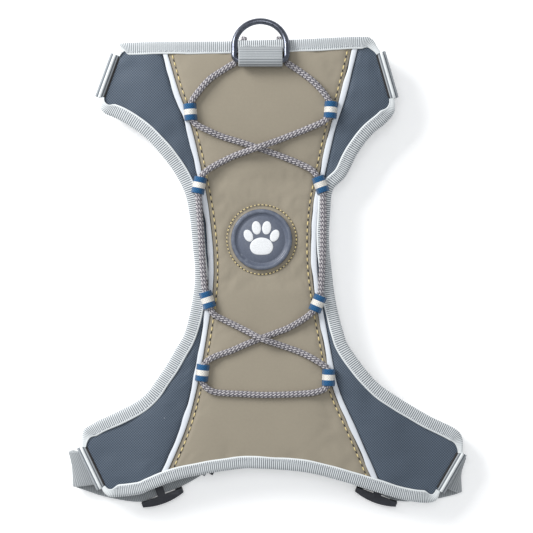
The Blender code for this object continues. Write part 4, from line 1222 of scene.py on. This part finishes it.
@dataclass
class BungeeCord:
    """Elastic cord laced down the back and up again, held by eight striped ribbon loops."""

    plan: BackPlan
    diameter: float = 3.4
    gap: float = 0.3
    hump: float = 3.8
    hump_reach: float = 9.0
    crossings: Points = ((-4.1, 63.7, 55), (-2.5, -40.8, 40))
    loop_width: float = 9.2
    ribbon: float = 0.7
    tip_places: tuple[float, float] = (-12.6, 6.9)
    route: Points = CORD_ROUTE
    loops: dict[str, tuple[float, float]] = field(default_factory=lambda: {
        "left_1": (-41.6, 83.2), "left_2": (-37.0, 43.6), "left_3": (-31.8, -20.1), "left_4": (-35.2, -60.0),
        "right_1": (35.7, 84.4), "right_2": (30.4, 43.2), "right_3": (28.4, -21.5), "right_4": (34.4, -61.6)})

    def level(self, x: np.ndarray, y: np.ndarray) -> np.ndarray:
        """Middle of the cord where it lies on the panel."""
        lift = (self.plan.total - self.plan.face[1]) * ease((np.abs(x - self.plan.axis_x) - 22) / 7)
        return self.plan.height(x, y) + self.plan.face[1] + self.gap + self.diameter / 2 + lift

    def line(self, count: int) -> np.ndarray:
        """The cord's middle, with a low hump where it passes over itself."""
        fine = spline([(x, y, n) for n, (x, y) in enumerate(self.route)], count)
        level = self.level(fine[:, 0], fine[:, 1])
        for x, y, start in self.crossings:
            away = np.hypot(fine[:, 0] - x, fine[:, 1] - y)
            bump = self.hump * np.exp(-(away / self.hump_reach) ** 2)
            level = level + np.where(fine[:, 2] > start, bump, 0)
        return np.column_stack([fine[:, :2], level])

    def build(self, shop: Workshop) -> None:
        """Makes the braid and its loops."""
        middle = self.line(500)
        cord = link(bpy.data.objects.new("elastic_cord", path_mesh("elastic_cord", [middle])))
        grow(cord, shop.trees.braid, Step=0.5 * MM, Strands=12, Lay=14.0 * MM, Radius=1.24 * MM,
             Strand_radius=0.46 * MM, Weave_depth=0.15 * MM, Yarn=shop.palette["braided_cord"])
        shop.settle(cord, "braided_cord", ["bungee_cord"])
        for label, spot in self.loops.items():
            self.loop(label, spot, middle, shop)
        self.tips(shop)

    def tips(self, shop: Workshop) -> None:
        """The cord's two cut ends, which stick out under the panel's top edge."""
        paths = [resampled(np.array([(x, 120.8, 10.4), (x + 0.2, 122.9, 10.3), (x + 0.6, 125.1, 9.6)]), 12)
                 for x in self.tip_places]
        ends = link(bpy.data.objects.new("cord_tips", path_mesh("cord_tips", paths)))
        grow(ends, shop.trees.braid, Step=0.5 * MM, Strands=12, Lay=14.0 * MM, Radius=1.3 * MM,
             Strand_radius=0.5 * MM, Weave_depth=0.15 * MM, Yarn=shop.palette["braided_cord"])
        shop.settle(ends, "braided_cord")

    def loop(self, label: str, spot: tuple[float, float], middle: np.ndarray, shop: Workshop) -> None:
        """One ribbon bridge over the cord, its three stripes running across."""
        along = run_length(middle)
        near = along[int(np.argmin(np.hypot(middle[:, 0] - spot[0], middle[:, 1] - spot[1])))]
        inner = self.diameter / 2 + 0.45
        outer = inner + self.ribbon
        foot = -self.diameter / 2 - 0.1
        turns = np.linspace(-0.25, math.pi + 0.25, 21)
        outside = [((outer + 0.7), foot)] + [(outer * math.cos(a), outer * math.sin(a)) for a in turns]
        outside += [(-outer - 0.7, foot), (-outer - 0.7, foot - 0.5), (-inner - 0.3, foot - 0.5)]
        section = np.array(outside + [(-inner * math.cos(a), inner * math.sin(a)) for a in turns] +
                           [(inner + 0.3, foot - 0.5), (outer + 0.7, foot - 0.5)])
        rings, stripe = [], []
        held = np.abs(along - near) < self.loop_width / 2
        centre = middle[held].mean(axis=0)
        run = middle[held][-1] - middle[held][0]
        run /= np.linalg.norm(run)
        across = np.array([-run[1], run[0]]) / math.hypot(run[0], run[1])
        for reach in np.linspace(-0.5, 0.5, 33):
            here = centre + run * reach * self.loop_width
            tuck = 1 - 0.12 * (abs(reach) * 2) ** 8
            rings.append([(*(here[:2] + across * u), here[2] + v * (tuck if v > 0 else 1))
                          for u, v in section])
            stripe.append(reach * 2)
        spread = np.r_[0, np.cumsum(np.hypot(*np.diff(section, axis=0).T))]
        reach_uv = np.repeat(np.array(stripe)[:, None], len(section), 1) * self.loop_width / 2
        uv = np.stack([np.tile(spread, (len(stripe), 1)), reach_uv], -1)
        marks = {"stripe": np.repeat(stripe, len(section))}
        obj = sweep(f"ribbon_loop_{label}", np.array(rings), shop.palette["loop_ribbon"],
                    uv=uv.reshape(-1, 2), marks=marks)
        shop.settle(obj, "loop_ribbon", [f"cord_loop_{label}"])


# ---------------------------------------------------------------- back panel

@dataclass
class BackPanel:
    """The padded back panel: foam, lining, three faces, two reflective seams and its bindings."""

    plan: BackPlan
    seam_half: float = 1.5
    gap: float = 0.2
    stitch_offset: float = 3.7
    stitch_sink: float = 0.15
    keeper_half: float = 12.0
    keeper_rise: float = 3.3

    def faces(self) -> dict[str, tuple[np.ndarray, np.ndarray, np.ndarray, np.ndarray]]:
        """Edges of the centre and side faces, between the seams."""
        bottom, right, top, left = self.plan.outline(self.plan.inset)
        edge = self.seam_half + self.gap
        a, b = self.plan.seam("left", edge), self.plan.seam("right", edge)
        south = cut_at(cut_at(bottom, a[0, 0])[1], b[0, 0])[0]
        north = cut_at(cut_at(top, a[-1, 0])[1], b[-1, 0])[0]
        centre = (south, b, north, a)
        a, b = self.plan.seam("left", -edge), self.plan.seam("right", -edge)
        west = (cut_at(bottom, a[0, 0])[0], a, cut_at(top, a[-1, 0])[0], left)
        east = (cut_at(bottom, b[0, 0])[1], right, cut_at(top, b[-1, 0])[1], b)
        return {"centre": centre, "left": west, "right": east}

    def strip(self, side: str, shop: Workshop) -> None:
        """The white reflective piping in one seam, lightly domed and uneven."""
        line = resampled(self.plan.seam(side, 0.0), 260)
        along = run_length(line)
        normal = left_normals(line)
        profile = ((-1.5, 6.7), (-1.65, 7.3), (-1.35, 7.62), (-0.6, 7.74), (0.5, 7.74), (1.35, 7.62),
                   (1.65, 7.3), (1.5, 6.7))
        sway = 0.15 * ripple(along, 3 if side == "left" else 4, 31)
        rings = []
        for k, place in enumerate(line):
            ring = []
            for across, level in profile:
                x, y = place + normal[k] * (across * (0.9 + sway[k]) + sway[k])
                uneven = 0.1 * sway[k] if level > 7 else 0
                ring.append((x, y, float(self.plan.height(x, y)) + level + uneven))
            rings.append(ring)
        uv = np.array([[(across, at) for across, _ in profile] for at in along])
        obj = sweep(f"reflective_piping_{side}", np.array(rings), shop.palette["reflective"],
                    uv=uv.reshape(-1, 2))
        shop.settle(obj, "reflective", [f"reflective_strip_{side}"])

    def over_keeper(self, x: np.ndarray) -> np.ndarray:
        """How far the top binding rises where it crosses the ring's keeper."""
        return self.keeper_rise * ease((self.keeper_half + 3.0 - np.abs(x - self.plan.axis_x)) / 3.0)

    def build(self, shop: Workshop) -> None:
        """Makes every layer of the panel."""
        plan, palette = self.plan, shop.palette
        whole = plan.outline(plan.inset)
        core = ClothSheet("back_foam", whole, plan.height, plan.core)
        obj = shop.settle(core.build(palette["foam"]), "foam", ["back_foam_core"])
        lining = ClothSheet("back_lining", whole, plan.height, plan.lining)
        obj = shop.settle(lining.build(palette["spacer_mesh"]), "spacer_mesh", ["back_mesh_lining"])
        lining.declare(obj, ["back_foam_core"])
        faces = self.faces()
        rows = [plan.seam("left", self.stitch_offset), plan.seam("right", self.stitch_offset)]
        sewn = rows + [Badge(plan).stitch_ring()]
        centre = ClothSheet("centre_face", faces["centre"], plan.height, plan.face, sewn=sewn, swell=0.35,
                            dip=0.5,
                            step=1.3, edge_drop=0.6, wrinkled=True)
        obj = shop.settle(centre.build(palette["taupe_face"]), "taupe_face", ["centre_face_panel"])
        centre.declare(obj, ["back_foam_core"])
        for side in ("left", "right"):
            face = ClothSheet(f"slate_face_{side}", faces[side], plan.height, plan.face, swell=0.6, step=1.4,
                              edge_drop=0.6, wrinkled=True)
            obj = shop.settle(face.build(palette["slate_fabric"]), "slate_fabric", [f"side_face_{side}"])
            face.declare(obj, ["back_foam_core"])
            self.strip(side, shop)
        self.sew_seams(rows, shop)
        self.bind(shop)

    def sew_seams(self, rows: Sequence[np.ndarray], shop: Workshop) -> None:
        """Tan topstitching inside both seams, with dark thread capsules of painted shade in its needle holes.
        """
        lines = []
        for row in rows:
            inner = resampled(row, 300)[9:-9]
            level = self.plan.height(inner[:, 0], inner[:, 1]) + self.plan.face[1] - self.stitch_sink
            lines.append(np.column_stack([inner, level]))
        shop.sew("tan_topstitching", lines, "tan", pitch=4.0, length=2.6, thick=0.68, slot="taupe_face")
        # painted shade: dark capsules between the stitches, sunk a little, darken the needle holes
        hole_shade = [half_way(line, 4.0) - (0, 0, 0.2) for line in lines]
        shop.sew("needle_holes", hole_shade, "dark", pitch=4.0, length=1.5, thick=0.75, slot="taupe_face")

    def bind(self, shop: Workshop) -> None:
        """Ribbed binding round the four edges, and the stitches through it."""
        plan = self.plan
        rows = []
        for number, (name, points, inward) in enumerate((("top", plan.top, -1), ("bottom", plan.bottom, 1),
                                                         ("left", plan.left, -1), ("right", plan.right, 1))):
            tape = BindingTape(f"back_binding_{name}", spline(points, 400), inward, plan.total, plan.height,
                               hump=self.over_keeper if name == "top" else None, seed=10 + number)
            shop.settle(tape.build(shop), "grosgrain", [f"binding_{name}"])
            rows.append(tape.stitch_line(5.2))
        shop.sew("binding_stitches", rows, "grey", pitch=3.0, length=2.0, thick=0.4, slot="grosgrain")


@dataclass
class CornerHem:
    """Webbing end folded over and sewn across a corner of the back panel, its grooves and folds darkened with
    painted shade.
    """

    plan: BackPlan
    name: str
    ends: tuple[tuple[float, float], tuple[float, float]]
    outward: int

    PROFILE = ((-1.9, 7.2), (-2.1, 8.0), (-1.8, 8.5), (-1.3, 8.6), (-1.0, 8.2), (-0.85, 8.9),
               (-0.55, 9.6), (0.1, 9.8), (0.7, 9.5), (0.95, 8.8), (1.15, 8.3), (1.6, 8.6), (2.2, 8.3),
               (2.6, 7.4), (2.6, 4.4), (2.2, 3.0), (1.0, 2.6), (0.0, 3.2), (0.0, 6.8))
    # painted shade for each profile point: darkest in the grooves between ridges, grey on the side folds and
    # underside, none on top of the middle ridge
    PAINTED_FOLD_SHADE = (0.7, 0.5, 0.4, 0.5, 1.0, 0.4, 0.0, 0.0, 0.0, 0.4, 1.0, 0.5, 0.45, 0.6, 0.7, 0.7, 0.7, 0.7, 0.7)
    # painted shadow: a thin near-black strip along the inner side of the fold, for the shade in the gap
    # between hem and panel
    LINING_EDGE = ((-3.1, 6.6), (-3.1, 7.7), (-2.9, 7.95), (-2.2, 7.95), (-1.9, 7.6), (-1.9, 6.6))

    def build(self, shop: Workshop) -> None:
        """Makes the folded end, and beside it a near-black strip of painted shadow."""
        line = resampled(np.array(self.ends, float), 90)
        along = run_length(line)
        normal = left_normals(line) * self.outward
        profile = np.array(self.PROFILE)
        pinch = 1 - 0.25 * (np.abs(np.linspace(-1, 1, len(line))) ** 10)
        rings = []
        for k, place in enumerate(line):
            base = float(self.plan.height(*place))
            ring = [(*(place + normal[k] * n), base + 5.5 + (z - 5.5) * pinch[k]) for n, z in profile]
            rings.append(ring)
        spread = np.r_[0, np.cumsum(np.hypot(*np.diff(profile, axis=0).T))]
        uv = np.stack([np.tile(along[:, None], (1, len(profile))), np.tile(spread, (len(line), 1))], axis=-1)
        marks = {"rib": 1 - np.tile(self.PAINTED_FOLD_SHADE, len(line))}
        obj = sweep(self.name, np.array(rings), shop.palette["grosgrain"], uv=uv.reshape(-1, 2), marks=marks)
        shop.settle(obj, "webbing")
        # painted shadow strip in dark thread colour, filed under the lining's slot
        edge = [[(*(place + normal[k] * n), float(self.plan.height(*place)) + z) for n, z in self.LINING_EDGE]
                for k, place in enumerate(line)][4:-4]
        shop.settle(sweep(f"{self.name}_lining_edge", np.array(edge), shop.palette["dark_thread"]),
                    "spacer_mesh")


# ---------------------------------------------------------------- badge

@dataclass
class Badge:
    """Round rubber badge with a raised rim, a paw print and a ring of stitches round it."""

    plan: BackPlan
    place: tuple[float, float] = (-2.4, 13.4)
    radius: float = 16.8
    sides: int = 128

    def profile(self) -> Points:
        """Radius and level from the middle of the underside to the middle of the top."""
        r = self.radius
        return ((0, 0), (r - 0.3, 0), (r, 0.3), (r, 1.7), (r - 0.25, 2.25), (r - 0.8, 2.55), (r - 1.5, 2.6),
                (r - 2.1, 2.45), (r - 2.5, 2.0), (r - 2.7, 1.72), (r - 3.4, 1.68), (r - 3.7, 1.5),
                (r - 4.1, 1.5), (r - 4.4, 1.7), (r * 0.5, 1.72), (0, 1.72))

    def build(self, shop: Workshop) -> None:
        """Makes the badge, its print and its stitches, with painted shade in the stitches' needle holes."""
        x, y = self.place
        base = float(self.plan.height(x, y)) + self.plan.face[1] + 0.3
        points, faces, last = [], [], []
        for radius, level in self.profile():
            turns = [math.tau * k / self.sides for k in range(self.sides)] if radius else [0.0]
            row = list(range(len(points), len(points) + len(turns)))
            points += [(x + radius * math.cos(a), y + radius * math.sin(a), base + level) for a in turns]
            if last:
                for k in range(self.sides):
                    n = (k + 1) % self.sides
                    corners = [last[k % len(last)], last[n % len(last)], row[n % len(row)], row[k % len(row)]]
                    faces.append(list(dict.fromkeys(corners)))
            last = row
        disc = make_mesh("rubber_badge", np.array(points), faces, shop.palette["badge_rubber"])
        shop.settle(disc, "badge_rubber", ["badge"])
        self.paw(base + 1.7, shop)
        ring = self.stitch_ring()
        ring = np.column_stack([ring, np.full(len(ring), base)])
        shop.sew("badge_stitches", [ring + (0, 0, 0.1)], "tan", pitch=2.1, length=1.4, thick=0.62,
                 slot="taupe_face")
        # painted shade: dark capsules between the stitches darken the needle holes
        shop.sew("badge_needle_holes", [half_way(ring, 2.1) - (0, 0, 0.1)], "dark", pitch=2.1, length=0.8,
                 thick=0.6,
                 slot="taupe_face")

    def stitch_ring(self) -> np.ndarray:
        """Plan of the ring of stitches round the badge."""
        turns = np.linspace(0, math.tau, 121)
        return np.array(self.place) + 19.1 * np.column_stack([np.cos(turns), np.sin(turns)])

    def paw(self, level: float, shop: Workshop) -> None:
        """A plain paw print in white rubber: one pad and four toes."""
        x, y = self.place
        pads = ((0, -4.0, 6.4, 5.1, 0.0), (-7.2, 2.1, 2.4, 3.5, 0.45), (-2.8, 6.4, 2.5, 3.7, 0.12),
                (2.8, 6.4, 2.5, 3.7, -0.12), (7.2, 2.1, 2.4, 3.5, -0.45))
        points, faces = [], []
        for px, py, rx, ry, turn in pads:
            last = []
            for share, rise in ((1.0, -0.2), (1.0, 0.18), (0.93, 0.3), (0.6, 0.34), (0.0, 0.36)):
                row = []
                for k in range(32 if share else 1):
                    a = math.tau * k / 32
                    waist = max(0.0, math.cos(2 * (a + math.pi / 2)) - 0.2)
                    dent = 1 - (0.16 * waist if rx > 4 and math.sin(a) < 0 else 0)
                    u, v = rx * share * dent * math.cos(a), ry * share * dent * math.sin(a)
                    row.append(len(points))
                    points.append((x + px + u * math.cos(turn) - v * math.sin(turn),
                                   y + py + u * math.sin(turn) + v * math.cos(turn), level + rise))
                if last:
                    for k in range(32):
                        corners = [last[k], last[(k + 1) % 32], row[(k + 1) % len(row)], row[k % len(row)]]
                        faces.append(list(dict.fromkeys(corners)))
                else:
                    faces.append(row[::-1])
                last = row
        shop.settle(make_mesh("paw_print", np.array(points), faces, shop.palette["white_thread"]),
                    "badge_rubber")


# ---------------------------------------------------------------- lead rings

@dataclass
class LeadRing:
    """A welded wire D in a keeper of folded webbing."""

    name: str
    place: tuple[float, float]
    rise: float
    tilt: float
    keeper: Points
    body: str
    wire: float = 3.5
    outside: float = 16.0
    reach: float = 8.2
    corner: float = 3.0
    keeper_half: float = 12.0

    def path(self) -> np.ndarray:
        """The D's middle line in its own plane, its straight bar on the first axis."""
        r, c = self.outside - self.wire / 2, self.corner
        points = [(u, 0) for u in np.linspace(-r + c, r - c, 24)]
        points += [(r - c + c * math.sin(a), c - c * math.cos(a)) for a in np.linspace(0.12, math.pi / 2, 12)]
        points += [(r * math.cos(a), self.reach + r * math.sin(a)) for a in np.linspace(0, math.pi, 81)]
        turn = np.linspace(math.pi / 2, 0.12, 12)
        points += [(-r + c - c * math.sin(a), c - c * math.cos(a)) for a in turn]
        return np.array(points)

    def build(self, shop: Workshop) -> None:
        """Makes the ring on its body and the keeper on the root."""
        path = self.path()
        run = np.roll(path, -1, axis=0) - np.roll(path, 1, axis=0)
        run /= np.linalg.norm(run, axis=1)[:, None]
        c, s = math.cos(math.radians(self.tilt)), math.sin(math.radians(self.tilt))
        turns = np.linspace(0, math.tau, 20, endpoint=False)
        side, lift = self.wire / 2 * np.cos(turns), self.wire / 2 * np.sin(turns)
        u = path[:, :1] - run[:, 1:] * side[None]
        v = path[:, 1:] + run[:, :1] * side[None]
        y, z = self.place[1] + c * v - s * lift[None], self.rise + s * v + c * lift[None]
        rings = np.dstack([self.place[0] + u, y, z])
        ring = sweep(f"{self.name}_ring", rings, shop.palette["ring_wire"], closed=True)
        shop.settle(ring, "ring_wire", [f"{self.name}_d_ring"], body=self.body)
        rails = [[(self.place[0] + way * self.keeper_half, y, z) for y, z in self.keeper] for way in (-1, 1)]
        fold = WovenBand(f"{self.name}_ring_webbing", rails[0], rails[1], 1.2, pitch=1.25, depth=0.28)
        obj = shop.settle(fold.build(shop), "webbing", [f"{self.name}_ring_keeper"])
        fold.declare(obj, [f"{self.name}_d_ring"])


def round_bar(place: tuple[float, float], rise: float, radius: float, start: float,
              end: float) -> list[tuple[float, float]]:
    """Points round a bar in the YZ plane, between two angles in degrees.

    Args:
        place: the bar's x and y.
        rise: its height.
        radius: how far out the points lie.
        start: the first angle.
        end: the last angle.

    Returns:
        Pairs of y and z.
    """
    return [(place[1] + radius * math.cos(math.radians(a)), rise + radius * math.sin(math.radians(a)))
            for a in np.linspace(start, end, 9)]


# ---------------------------------------------------------------- chest panel

@dataclass
class ChestPanel:
    """The smaller padded panel under the back panel."""

    plan: ChestPlan

    def build(self, shop: Workshop) -> None:
        """Makes its layers and bindings."""
        plan, palette = self.plan, shop.palette
        edges = plan.outline()
        core = ClothSheet("chest_foam", edges, plan.height, plan.core)
        shop.settle(core.build(palette["foam"]), "foam", ["chest_foam_core"])
        face = ClothSheet("chest_outer_face", edges, plan.height, plan.face)
        obj = shop.settle(face.build(palette["slate_fabric"]), "slate_fabric", ["chest_face"])
        face.declare(obj, ["chest_foam_core"])
        lining = ClothSheet("chest_lining", edges, plan.height, plan.lining)
        obj = shop.settle(lining.build(palette["spacer_mesh"]), "spacer_mesh", ["chest_mesh_lining"])
        lining.declare(obj, ["chest_foam_core"])
        for number, (name, points, inward) in enumerate((("top", plan.top, -1), ("left", plan.left, -1),
                                                         ("right", plan.right, 1))):
            line = spline(points, 60)
            line = line[1:-3] if name != "top" else line[3:-3]
            tape = BindingTape(f"chest_tape_{name}", resampled(line, 300), inward, plan.total, plan.height,
                               seed=20 + number)
            shop.settle(tape.build(shop), "grosgrain", [f"chest_binding_{name}"])


# ---------------------------------------------------------------- straps and hardware

Station = tuple[float, float, float, float, float]


def strap_rails(stations: Sequence[Station]) -> tuple[list, list]:
    """Left and right rails from stations of x, y, z, heading in degrees and half width."""
    left, right = [], []
    for x, y, z, heading, half in stations:
        a = math.radians(heading)
        side = np.array([-math.sin(a), math.cos(a)]) * half
        left.append((x + side[0], y + side[1], z))
        right.append((x - side[0], y - side[1], z))
    return left, right


def direction(degrees: float) -> np.ndarray:
    """Unit plan vector at an angle from +X."""
    return np.array([math.cos(math.radians(degrees)), math.sin(math.radians(degrees))])


@dataclass
class Straps:
    """The webbing straps, and the moulded sliders and buckles on them."""

    back: BackPlan
    chest: ChestPlan
    width: float = 20.0
    thick: float = 1.4
    gap: float = 0.3
    bar: float = 1.5
    buckle_thick: float = 9.0
    neck_level: float = 2.8
    neck: dict[str, Station] = field(default_factory=lambda: {
        "left": (-66.5, 97.6, -17.0, 20.4, 19.4), "right": (54.0, 99.4, 195.0, 13.6, 12.6)})
    girth: dict[str, tuple[float, float, float]] = field(default_factory=lambda: {
        "left": (-61.7, -118.4, 20.5), "right": (65.4, -118.0, 159.5)})
    buckles: dict[str, tuple[float, float, float]] = field(default_factory=lambda: {
        "left": (-40.9, -110.6, 60.0), "right": (43.5, -107.0, 120.0)})
    plug_bar: float = 37.6
    chest_ends: dict[str, tuple[float, float]] = field(default_factory=lambda: {
        "left": (-10.2, -56.6), "right": (14.6, -56.9)})

    def neck_stations(self, side: str) -> list[Station]:
        """From a shoulder corner, folded under it and on to the chest panel."""
        x, y, heading, reach_out, reach_in = self.neck[side]
        u, middle = direction(heading), np.array([x, y])
        level = self.neck_level + self.bar + self.gap + self.thick / 2
        half = self.width / 2
        edge = middle - u * reach_out
        top = float(self.back.height(*edge)) + 4.4
        bend = (top - level) / 2
        spots = [(*(edge + u * 1.6), top, heading, half), (*(edge + u * 0.4), top - 0.2, heading, half)]
        for turn in (60, 90, 120):
            a = math.radians(turn)
            out = edge - u * 1.7 * math.sin(a)
            spots.append((*out, level + bend + bend * math.cos(a), heading, half))
        spots += [(*(edge + u * 0.8), level, heading, half), (*(middle - u * 12), level, heading, half),
                  (x, y, level, heading, half), (*(middle + u * 12), level, heading, half)]
        joint = middle + u * reach_in
        spots += [(*(joint - u * 3.2), level + 1.2, heading, half),
                  (*(joint - u * 0.8), level + 2.6, heading, half)]
        return spots

    def girth_stations(self, side: str) -> list[Station]:
        """From the hip corner, folded under, through its slider and round the buckle's bar."""
        level, half = self.bar + self.gap + self.thick / 2, self.width / 2
        sx, sy, sh = self.girth[side]
        bx, by, bh = self.buckles[side]
        mirror = -1 if side == "right" else 1
        if side == "right":
            sx, sh, bx, bh = -sx, 180 - sh, -bx, 180 - bh
        corner, fold, first = (((-96.6, -112.6), (-107.4, -113.6), 23.0) if side == "left" else
                               ((-102.6, -114.2), (-108.6, -117.0), 28.0))
        corner, fold = np.array(corner), np.array(fold)
        top = float(self.back.height(corner[0] * mirror, corner[1])) + 4.4
        toward = fold - corner
        spots = [(*(corner + toward * 0.08), top, first, half),
                 (*(corner + toward * 0.55), top - 0.3, first * 0.8, half),
                 (*(corner + toward * 0.92), top - 1.8, first * 0.5, half),
                 (*fold, (top + level) / 2, first * 0.3, half),
                 (*(corner + toward * 0.92), level + 1.3, 0, half),
                 (fold[0] + 6, fold[1] - 1.6, level, -6, half)]
        s, mid = direction(sh), np.array([sx, sy])
        spots += [(*((fold * 0.5 + (mid - 12 * s) * 0.5) + np.array([2, -1.6])), level, 2, half),
                  (*(mid - 12.5 * s), level, sh, half), (*mid, level, sh, half),
                  (*(mid + 12.5 * s), level, sh, half)]
        b = direction(bh)
        bar, rise = np.array([bx, by]) + b * 2.5, self.buckle_thick / 2
        spots += [(*(bar - b * 4.5), level, bh - 6, half - 2)]
        for turn in (-80, -40, 0, 40, 80):
            a = math.radians(turn)
            spots.append((*(bar + b * 3.1 * math.cos(a)), rise + 3.1 * math.sin(a), bh, half - 0.4))
        spots += [(*(bar - b * 5.0), rise + 2.6, bh, half - 0.4)]
        if side == "right":
            spots = [(-x, y, z, 180 - heading, h) for x, y, z, heading, h in spots]
        return spots

    def buckle_stations(self, side: str) -> list[Station]:
        """From the chest panel's lower corner round the plug's bar."""
        bx, by, bh = self.buckles[side]
        b = direction(bh)
        bar = np.array([bx, by]) + b * self.plug_bar
        half, rise, end = self.width / 2 - 0.4, self.buckle_thick / 2, np.array(self.chest_ends[side])
        chest = float(self.chest.height(*end)) + 3.2
        reach = float(np.dot(end - bar, b))
        spots = [(*(bar + b * (reach - 0.8)), chest, bh, half), (*(bar + b * (reach * 0.55)), 2.4, bh, half)]
        for turn in (-100, -140, 180, 140, 100):
            a = math.radians(turn)
            spots.append((*(bar + b * 3.1 * math.cos(a)), rise + 3.1 * math.sin(a), bh, half))
        return spots + [(*(bar + b * 5.0), rise + 2.0, bh, half)]

    def build(self, shop: Workshop) -> None:
        """Makes every strap and every moulded piece."""
        for side in ("left", "right"):
            for name, stations, rests in (("neck", self.neck_stations(side), f"neck_slider_{side}"),
                                          ("girth", self.girth_stations(side), f"girth_slider_{side}")):
                band = WovenBand(f"{name}_webbing_{side}", *strap_rails(stations), self.thick)
                obj = shop.settle(band.build(shop), "webbing", [f"{name}_strap_{side}"])
                band.declare(obj, [rests])
                self.moulded(f"{name}_slider_{side}", f"{name}_slider_{side}", shop)
            band = WovenBand(f"plug_webbing_{side}", *strap_rails(self.buckle_stations(side)), 1.2)
            obj = shop.label(band.build(shop), "webbing", [f"buckle_strap_{side}"])
            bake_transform(obj)
            band.declare(obj, [f"buckle_plug_{side}"])
            self.moulded(f"buckle_socket_{side}", "root", shop)
            self.moulded(f"buckle_plug_{side}", f"buckle_plug_{side}", shop)

    def moulded(self, node: str, body: str, shop: Workshop) -> None:
        """A moulded piece from the frame's own shape, its edges rounded off."""
        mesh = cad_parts[node].data.copy()
        bm = bmesh.new()
        bm.from_mesh(mesh)
        bmesh.ops.remove_doubles(bm, verts=bm.verts, dist=0.01 * MM)
        bmesh.ops.dissolve_limit(bm, angle_limit=math.radians(1.0), verts=bm.verts, edges=bm.edges)
        sharp = [e for e in bm.edges if len(e.link_faces) == 2 and e.calc_face_angle() > math.radians(20)]
        bmesh.ops.bevel(bm, geom=sharp, offset=0.16 * MM, segments=2, profile=0.5, affect="EDGES",
                        clamp_overlap=True)
        bmesh.ops.recalc_face_normals(bm, faces=bm.faces)
        bm.to_mesh(mesh)
        bm.free()
        mesh.materials.clear()
        mesh.materials.append(shop.palette["buckle_plastic"])
        mesh.shade_smooth()
        mesh.set_sharp_from_angle(angle=math.radians(40))
        obj = link(bpy.data.objects.new(f"moulded_{node}", mesh))
        shop.settle(obj, "buckle_plastic", [node], body=body)


# ---------------------------------------------------------------- the whole harness

@dataclass
class Harness:
    """All sub-assemblies of the harness."""

    back: BackPlan = field(default_factory=BackPlan)
    chest: ChestPlan = field(default_factory=ChestPlan)

    def rings(self) -> tuple[LeadRing, LeadRing]:
        """The back lead ring and the chest one, with their keepers' paths."""
        place = (-3.0, 111.0)
        base = float(self.back.height(*place))
        rise, sewn, wrap = base + 13.2, base + self.back.total + 0.9, 2.75
        path = [(119.6, sewn), (117.5, sewn), (114.5, sewn + 0.4)] + round_bar(place, rise, wrap, -75, -290)
        path += [(115.5, sewn + 4.2), (118, sewn + 2.3), (119.6, sewn + 1.6)]
        back = LeadRing("back", place, rise, -13.0, path, "back_ring")
        place, rise = (-2.8, 119.5), 3.7
        path = [(109.4, 4.5), (111.5, 4.55), (114, 4.6)] + round_bar(place, rise, wrap, 112, -110)
        path += [(114, 2.6), (111.5, 2.9), (109.4, 2.9)]
        return back, LeadRing("front", place, rise, 184.0, path, "front_ring")

    def corners(self) -> list[CornerHem]:
        """The four folded strap ends across the back panel's corners."""
        p = self.back
        return [CornerHem(p, "hem_neck_left", (p.left[-1], p.top[0]), 1),
                CornerHem(p, "hem_neck_right", (p.right[-1], p.top[-1]), -1),
                CornerHem(p, "hem_girth_left", (p.left[0], p.bottom[0]), -1),
                CornerHem(p, "hem_girth_right", (p.right[0], p.bottom[-1]), 1)]

    def build(self, shop: Workshop) -> None:
        """Makes the cord first, then everything else."""
        BungeeCord(self.back).build(shop)
        BackPanel(self.back).build(shop)
        for hem in self.corners():
            hem.build(shop)
        Badge(self.back).build(shop)
        for ring in self.rings():
            ring.build(shop)
        ChestPanel(self.chest).build(shop)
        Straps(self.back, self.chest).build(shop)


def main() -> None:
    """Builds the studio and the harness."""
    logging.basicConfig(level=logging.INFO, format="%(name)s: %(message)s")
    Studio().build()
    Harness().build(Workshop())


if __name__ == "__main__":
    main()
